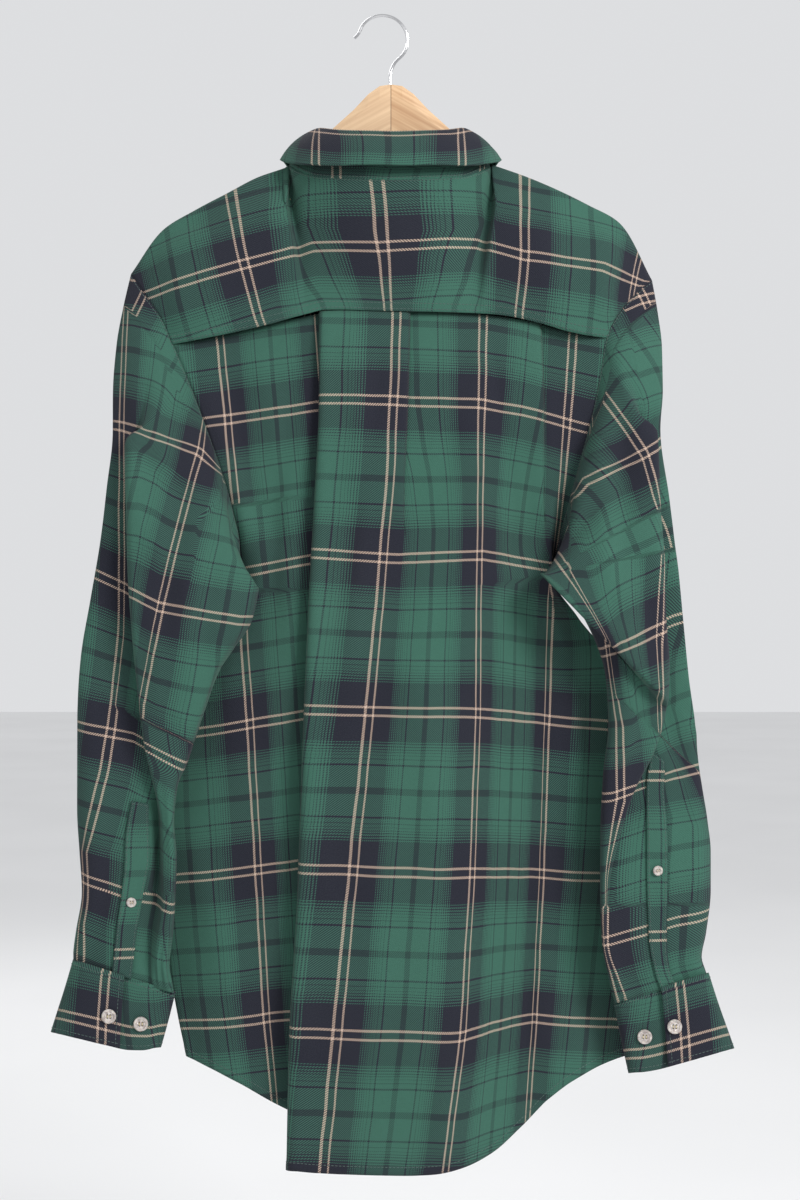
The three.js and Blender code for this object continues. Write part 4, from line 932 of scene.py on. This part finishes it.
# Cuffs: each a doubled band of flannel, stiffened inside, sewn to the gathered sleeve and buttoned over its
# own end. It tilts with the sleeve that it hangs from.
DOUBLE_CLOTH = 2
CUFF_ROWS = 4
CUFF_STEP = 2.6
CUFF_TUCK = 2.6
CUFFS = {
    "left": {"outer_top": [-249, 756.6], "inner_top": [-167, 782.6], "outer_bottom": [-266, 812],
             "inner_bottom": [-178, 833], "inner_rise": 9, "facing": -1},
    "right": {"outer_top": [260, 767.2], "inner_top": [184, 790.4], "outer_bottom": [279.5, 825],
              "inner_bottom": [195, 849], "inner_rise": 4, "facing": 1},
}
CUFF_LOOP = [
    [0.26, -40], [0.4, -40.3], [0.55, -40.5], [0.7, -40.5], [0.84, -40], [0.95, -38], [1, -32], [0.97, -24],
    [0.86, -20.5], [0.7, -19.5], [0.5, -19.5], [0.3, -19.5], [0.12, -20.5], [0.02, -25], [-0.01, -33],
    [0.04, -41], [0.15, -44.5], [0.28, -45], [0.4, -45], [0.5, -44.8]]


def cuff_grid(cuff):
    grid = []
    for down in steps(CUFF_ROWS):
        outer = mix(np.array(cuff["outer_top"]), np.array(cuff["outer_bottom"]), down)
        inner = mix(np.array(cuff["inner_top"]), np.array(cuff["inner_bottom"]), down)
        row = []
        for i, (across, y) in enumerate(CUFF_LOOP):
            along = across + (0.12 * down if i == len(CUFF_LOOP) - 1 else 0)
            x, drop = mix(outer, inner, along)
            row.append([x, y, -drop + cuff["inner_rise"] * down * ease((along - 0.75) / 0.25)])
        grid.append(rounded(row))
    return placed(grid)


for side in ("left", "right"):
    band, _, _ = refined(cuff_grid(CUFFS[side]), CUFF_STEP)
    band_facing = grid_normals(band, CUFFS[side]["facing"])
    band_down = lengths_along(band, 0)
    band_along = lengths_along(band, 1)
    band = band + band_facing * (0.35 * np.sin(band_along / 9) * np.sin(band_down / 14))[..., None]
    above = band[0] - band[1]
    band[0] += above / np.linalg.norm(above, axis=1, keepdims=True) * CUFF_TUCK
    pair_from_end = 15
    cuff = cloth_piece("cuff_band_" + side, band, band_along[:, -1:] - pair_from_end - band_along,
                       band_down - band_down[-1:] + pair_from_end, DOUBLE_CLOTH)
    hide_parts("cuff_" + side)
    over_cloth = DOUBLE_CLOTH / 2 + 0.12
    seams = [line_inside(band, band_facing, edge, 3.5) for edge in ("top", "bottom", "right")]
    sew("cuff_topstitch_" + side, seams, over_cloth)

# Sleeve plackets: each a folded strip of flannel that finishes the slit above the cuff, sewn along its edges.
PLACKETS = {
    "left": {
        "first": 10.6, "pair_drop": 741,
        "edges": table("ring from to", [[10.6, 0.72, 0.98], [12, 0.62, 0.98], [15, 0.64, 0.98]])},
    "right": {
        "first": 11.9, "pair_drop": 727,
        "edges": table("ring from to", [[11.9, 0.62, 0.84], [14, 0.42, 0.64], [17, 0.37, 0.56]])},
}


def column_of(share):
    return 1 + (share - 0.1) / 0.45 if share < 0.55 else 2 + (share - 0.55) / 0.45


def strip_on(cloth, rows, columns_at, count, lift):
    """A grid on a piece's cloth, between its coarse rows and columns, lifted off the middle of its wall."""
    fine, facing, row_at, column_at = cloth
    raised = fine + facing * lift
    grid = []
    for row in rows:
        at_row = np.interp(row, row_at, np.arange(len(row_at)))
        r = min(int(at_row), len(fine) - 2)
        line = mix(raised[r], raised[r + 1], at_row - r)
        at = np.interp(np.linspace(*columns_at(row), count), column_at, np.arange(len(column_at)))
        grid.append([[np.interp(c, np.arange(len(line)), line[:, k]) for k in range(3)] for c in at])
    return np.array(grid)


for side in ("left", "right"):
    placket = PLACKETS[side]

    def placket_columns(ring):
        edges = placket["edges"](ring)
        return column_of(edges["from"]), column_of(edges["to"])

    last_ring = sleeve_cloth[side][2][-1] - 0.08
    strip = strip_on(sleeve_cloth[side], np.linspace(placket["first"], last_ring, 60), placket_columns, 12,
                     CLOTH + 3 * GAP)
    strip_facing = grid_normals(strip, SLEEVE_FACING[side])
    strip_piece = cloth_piece("placket_strip_" + side, strip, lengths_along(strip, 1) + 34,
                              -strip[..., 2] - placket["pair_drop"])
    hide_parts("placket_" + side)
    seams = [line_inside(strip, strip_facing, edge, 1.6) for edge in ("left", "right", "top")]
    sew("placket_topstitch_" + side, seams)

# Front band: a folded strip sewn down the edge of the left front, which holds the buttonholes.
left_front = front_cloth["left"]
overlap_x = CENTRE - HALF_OVERLAP


def band_span(row):
    fine, _, row_at, column_at = left_front
    line = fine[int(round(np.interp(row, row_at, np.arange(len(row_at)))))]
    inner = np.interp(overlap_x, line[-40:, 0], column_at[-40:])
    return inner, column_at[-1]


strip = strip_on(left_front, np.linspace(0, left_front[2][-1], 170), band_span, 10, CLOTH + 2 * GAP)
strip_facing = grid_normals(strip, 1)
front_strip = cloth_piece("front_band_strip", strip, lengths_along(strip, 1) - HALF_OVERLAP,
                          cloth_down(strip, FRONT_WEFT))
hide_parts("front_band")
sew("front_band_topstitch", [line_inside(strip, strip_facing, edge, 2.0) for edge in ("left", "right")])

# Collar: a shaped stand sewn to the neckline, and a fall turned down over it. Both are doubled flannel with a
# stiffener inside. The stand laps and buttons at the throat, and the fall's points spread in front.
COLLAR_STEP = 2.4
SEAM_TUCK = 2.4
STAND_TURN = 190
FOLD_RING = {"across": 56, "deep": 35}
EDGE_RING = {"across": 88, "deep": 58}
STAND_LIFT = {"behind": CLOTH / 2 + GAP, "beside": CLOTH / 2 + 7 * GAP, "before": CLOTH / 2 + 3 * GAP}
FALL_ROWS = [(0, 0, -1.2), (0.08, 0, 0.6), (0.28, 0.07, 0), (0.66, 0.4, 0), (0.87, 0.72, 0), (1, 1, 0)]


def stand_lift(turn):
    beside = mix(STAND_LIFT["behind"], STAND_LIFT["beside"], ease((abs(turn) - 45) / 25))
    return mix(beside, STAND_LIFT["before"], ease((abs(turn) - 115) / 20))


def stand_grid():
    grid = []
    for up in steps(2):
        row = []
        for turn in steps(32, -STAND_TURN, STAND_TURN):
            heights = COLLAR(abs(turn))
            base = ring_point(NECKLINE_RING, turn, heights["neckline"] - stand_lift(turn) + SEAM_TUCK,
                              lap_outward(turn))
            top = ring_point(FOLD_RING, turn, heights["fold"] + 4.4, lap_outward(turn))
            row.append(mix(base, top, up))
        grid.append(row)
    return placed(grid)


def fall_grid():
    grid = []
    for out, down, above in FALL_ROWS:
        ring = {key: mix(FOLD_RING[key], EDGE_RING[key], out) for key in FOLD_RING}
        row = []
        for share in steps(30, -1, 1):
            turn = share * mix(171, 151, down)
            fold = COLLAR(abs(turn))["fold"]
            edge = COLLAR(abs(share) * 151)["edge"]
            row.append(ring_point(ring, turn, mix(fold, edge, down) - above))
        grid.append(row)
    return placed(grid)


stand_fine, _, stand_columns = refined(stand_grid(), COLLAR_STEP)
stand_facing = grid_normals(stand_fine, 1)
stand_warp = [[(338, 60), (338, 240)], [(481, 60), (481, 240)]]
stand = cloth_piece("collar_stand_band", stand_fine,
                    cloth_across(stand_fine, stand_warp, stand_columns, [(8, 16), (16, 24)]),
                    40 - lengths_along(stand_fine, 0), DOUBLE_CLOTH)
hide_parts("collar_stand")
sew("stand_topstitch", [line_inside(stand_fine, stand_facing, "top", 1.8)], DOUBLE_CLOTH / 2 + 0.12)

fall_fine, _, fall_columns = refined(fall_grid(), COLLAR_STEP)
fall_facing = grid_normals(fall_fine, 1)
fall_down = lengths_along(fall_fine, 0)
fall_wave = 0.5 * np.sin(fall_columns * 1.7)[None, :] * np.clip(fall_down / 25, 0, 1)
fall_fine = fall_fine + fall_facing * fall_wave[..., None]
fall_warp = [[(318, 60), (318, 240)], [(460, 60), (460, 240)]]
pair_below_fold = 7
fall = cloth_piece("collar_fall_leaf", fall_fine,
                   cloth_across(fall_fine, fall_warp, fall_columns, [(7, 15), (15, 23)]),
                   fall_down - pair_below_fold, DOUBLE_CLOTH)
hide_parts("collar_fall")
sew("fall_topstitch", [line_inside(fall_fine, fall_facing, edge, 5) for edge in ("bottom", "left", "right")],
    DOUBLE_CLOTH / 2 + 0.12)

# Buttons: pressed polyester discs with a raised rim and four holes, each sewn on by thread through its holes.
# Rings of the disc from its dish over the rim to its base: how far inside the edge, and the height.
BUTTON_PROFILE = [(2.1, 1.6), (1.6, 2.2), (0.6, 2.2), (0, 1.5), (0, 0.7), (0.6, 0)]
DISH_MIDDLE = 0.3
BUTTON_SIDES = 48
HOLE = {"across": 0.196, "radius": 0.12}
YARN_RADIUS = 0.075
button_pearl, pearl_wire, pearl_shader = surface(
    "button_pearl", 0.26, Coat_Weight=0.4, Subsurface_Weight=0.08)
pearl_place = pearl_wire.node("TexCoord", {}, {}, 3)
pearl_cloud = pearl_wire.node("TexNoise", {}, {"Vector": pearl_place, "Scale": 420.0, "Detail": 2.0})
pearl_colour = pearl_wire.node(
    "ValToRGB", {"stops": [(0.3, (0.30, 0.25, 0.235)), (0.7, (0.58, 0.51, 0.47))]}, {"Fac": pearl_cloud})
pearl_wire.tree.links.new(pearl_colour.socket, pearl_shader.inputs["Base Color"])
button_thread, yarn_wire, yarn_shader = surface("button_thread", 0.75)
yarn_place = yarn_wire.node("TexCoord", {}, {}, 3)
yarn_twist = yarn_wire.node("TexWave", {}, {"Vector": yarn_place, "Scale": 1500.0}, 1)
yarn_colour = yarn_wire.node(
    "ValToRGB", {"stops": [(0, (0.36, 0.30, 0.17)), (1, (0.55, 0.48, 0.30))]}, {"Fac": yarn_twist})
yarn_wire.tree.links.new(yarn_colour.socket, yarn_shader.inputs["Base Color"])


def ring_mesh(name, rings, material):
    """A round solid from rings of points of equal count, closed at both ends."""
    rings = np.array(rings)
    count = rings.shape[1]
    here = np.arange(count)
    after = (here + 1) % count
    faces = []
    for k in range(len(rings) - 1):
        low, high = k * count, (k + 1) * count
        faces += np.column_stack([low + here, low + after, high + after, high + here]).tolist()
    faces += [list(range(count))[::-1], [(len(rings) - 1) * count + i for i in range(count)]]
    mesh = bpy.data.meshes.new(name)
    mesh.from_pydata((rings.reshape(-1, 3) * MM).tolist(), [], faces)
    shape = bmesh.new()
    shape.from_mesh(mesh)
    bmesh.ops.recalc_face_normals(shape, faces=shape.faces)
    shape.to_mesh(mesh)
    shape.free()
    mesh.polygons.foreach_set("use_smooth", [True] * len(mesh.polygons))
    mesh.set_sharp_from_angle(angle=math.radians(35))
    mesh.materials.append(material)
    piece = bpy.data.objects.new(name, mesh)
    bpy.context.scene.collection.objects.link(piece)
    return piece


def circle(centre, radius, first, second, count):
    turns = np.arange(count) * 2 * math.pi / count
    return [centre + radius * (math.cos(t) * first + math.sin(t) * second) for t in turns]


def sew_button(node):
    corners = np.array([v.co[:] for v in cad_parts[node].data.vertices]) / MM
    centre = (corners.min(axis=0) + corners.max(axis=0)) / 2
    axis = np.linalg.svd(corners - corners.mean(axis=0), full_matrices=False)[2][2]
    outward = 1 if node.startswith(("front", "stand")) else -1
    axis = axis * np.sign(axis[1] * outward)
    along = (corners - centre) @ axis
    base = centre + axis * along.min()
    first = np.cross(axis, [0.0, 0.0, 1.0])
    first /= np.linalg.norm(first)
    second = np.cross(axis, first)
    radius = np.linalg.norm((corners - centre) - along[:, None] * axis, axis=1).max()
    dish = circle(base + axis * BUTTON_PROFILE[0][1], DISH_MIDDLE, first, second, BUTTON_SIDES)
    rings = [dish] + [circle(base + axis * height, radius - inset, first, second, BUTTON_SIDES)
                      for inset, height in BUTTON_PROFILE]
    disc = ring_mesh("sewn_" + node, rings, button_pearl)
    holes = [base + radius * HOLE["across"] * (a * first + b * second) for a in (-1, 1) for b in (-1, 1)]
    for hole in holes:
        drill = ring_mesh("drill", [circle(hole + axis * h, radius * HOLE["radius"], first, second, 12)
                                    for h in (-1, 4)], button_pearl)
        cut = disc.modifiers.new("hole", "BOOLEAN")
        cut.object = drill
        cut.operation = "DIFFERENCE"
        bpy.context.view_layer.update()
        drilled = bpy.data.meshes.new_from_object(disc.evaluated_get(bpy.context.evaluated_depsgraph_get()))
        disc.modifiers.clear()
        disc.data = drilled
        bpy.data.objects.remove(drill)
    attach(disc, "root")
    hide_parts(node)
    for start, end in ((0, 1), (2, 3)):
        rise = [0.4, 1.7, 2.0, 1.7, 0.4]
        path = [mix(holes[start], holes[end], t) + axis * h for t, h in zip((0, 0.08, 0.5, 0.92, 1), rise)]
        across = np.cross(axis, holes[end] - holes[start])
        across /= np.linalg.norm(across)
        loops = [circle(point, radius * YARN_RADIUS, across, axis, 8) for point in path]
        yarn = ring_mesh(f"yarn_{node}_{start}", loops, button_thread)
        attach(yarn, "root")


for node in sorted(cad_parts):
    if "button" in node:
        sew_button(node)

# Hanger: two shaped arms of pale wood joined in the middle, and a bent wire hook screwed into the joint.
wood, wood_wire, wood_shader = surface("hanger_wood_grain_and_painted_light", 0.42, Coat_Weight=0.25, Coat_Roughness=0.2)
wood_place = wood_wire.node("TexCoord", {}, {}, 3)
wood_x = wood_wire.node("SeparateXYZ", {}, {0: wood_place}, 0) - CENTRE * MM
wood_z = wood_wire.node("SeparateXYZ", {}, {0: wood_place}, 2)
wood_y = wood_wire.node("SeparateXYZ", {}, {0: wood_place}, 1)
arm_x = wood_wire.maths("ABSOLUTE", wood_x)
left_arm = wood_wire.maths("LESS_THAN", wood_x, 0.0)
grain_height = wood_z + arm_x * 0.55 + left_arm * 0.3
grain_place = wood_wire.node("CombineXYZ", {}, {0: arm_x * 9.0, 1: wood_y * 260.0, 2: grain_height * 260.0})
grain_lines = wood_wire.node("TexNoise", {}, {"Vector": grain_place, "Scale": 1.0, "Detail": 4.0})
wood_tone = wood_wire.node(
    "ValToRGB", {"stops": [(0.25, (0.42, 0.235, 0.115)), (0.75, (0.66, 0.445, 0.255))]}, {"Fac": grain_lines})
# Painted light: the left arm is mixed 35% towards a paler wood tone, standing in for the light that falls
# differently on the two angled halves.
wood_left_arm_painted_light = wood_tone.blended(left_arm * 0.35, (0.74, 0.56, 0.37, 1))
wood_joint = wood_wire.maths("LESS_THAN", arm_x, 0.0004)
wood_wire.tree.links.new(wood_left_arm_painted_light.blended(wood_joint * 0.7, (0.16, 0.085, 0.04, 1)).socket,
                         wood_shader.inputs["Base Color"])
hook_metal, metal_wire, metal_shader = surface("hook_chrome", 0.16, Metallic=1.0)
metal_place = metal_wire.node("TexCoord", {}, {}, 3)
metal_cloud = metal_wire.node("TexNoise", {}, {"Vector": metal_place, "Scale": 60.0, "Detail": 3.0})
metal_colour = metal_wire.node(
    "ValToRGB", {"stops": [(0.3, (0.52, 0.52, 0.53)), (0.7, (0.66, 0.66, 0.67))]}, {"Fac": metal_cloud})
metal_wire.tree.links.new(metal_colour.socket, metal_shader.inputs["Base Color"])
for node, material in (("hanger_wood", wood), ("hanger_hook", hook_metal)):
    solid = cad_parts[node]
    solid.data.materials.clear()
    solid.data.materials.append(material)
    solid.data.polygons.foreach_set("use_smooth", [True] * len(solid.data.polygons))
    solid.data.set_sharp_from_angle(angle=math.radians(40))
    node if node == "hanger_wood" else "hook_metal"

# Studio: a pale floor below the hanging shirt, a pale surround, a main light from the right front and a fill.
floor_mesh = bpy.data.meshes.new("studio_floor")
FLOOR_HALF = 12.0
FLOOR_Z = -1.25
floor_corners = [(x * FLOOR_HALF, y * FLOOR_HALF, FLOOR_Z) for x, y in ((-1, -1), (1, -1), (1, 1), (-1, 1))]
floor_mesh.from_pydata(floor_corners, [], [(0, 1, 2, 3)])
floor_paint, floor_wire, floor_shader = surface("floor_paint", 0.9)
floor_place = floor_wire.node("TexCoord", {}, {}, 3)
floor_cloud = floor_wire.node("TexNoise", {}, {"Vector": floor_place, "Scale": 1.5})
floor_colour = floor_wire.node(
    "ValToRGB", {"stops": [(0.0, (0.80, 0.80, 0.80)), (1.0, (0.86, 0.86, 0.86))]}, {"Fac": floor_cloud})
floor_wire.tree.links.new(floor_colour.socket, floor_shader.inputs["Base Color"])
floor_mesh.materials.append(floor_paint)
floor = bpy.data.objects.new("studio_floor", floor_mesh)
bpy.context.scene.collection.objects.link(floor)

world = bpy.data.worlds.new("studio_surround")
world.use_nodes = True
world.node_tree.nodes["Background"].inputs["Color"].default_value = (0.93, 0.94, 0.96, 1)
world.node_tree.nodes["Background"].inputs["Strength"].default_value = 0.78
bpy.context.scene.world = world
bpy.context.scene.view_settings.view_transform = "Standard"


def studio_light(name, place, size, power):
    lamp = bpy.data.lights.new(name, "AREA")
    lamp.size = size
    lamp.energy = power
    lit = bpy.data.objects.new(name, lamp)
    lit.location = place
    lit.rotation_euler = (Vector((0, 0, -0.45)) - Vector(place)).to_track_quat("-Z", "Y").to_euler()
    bpy.context.scene.collection.objects.link(lit)


studio_light("main_light", (1.5, -2.0, 0.7), 0.9, 66)
studio_light("fill_light", (-2.2, -2.2, 0.2), 1.8, 4)
studio_light("behind_light", (-1.0, 2.2, 0.9), 1.4, 18)

camera_data = bpy.data.cameras.new("camera")
camera_data.sensor_fit = "VERTICAL"
camera_data.sensor_height = 36
camera_data.lens = 58.125
camera = bpy.data.objects.new("camera", camera_data)
camera.location = (VIEW_X * MM, -VIEW_DISTANCE * MM, VIEW_Z * MM)
camera.rotation_euler = (math.radians(90), 0, 0)
bpy.context.scene.collection.objects.link(camera)
bpy.context.scene.camera = camera
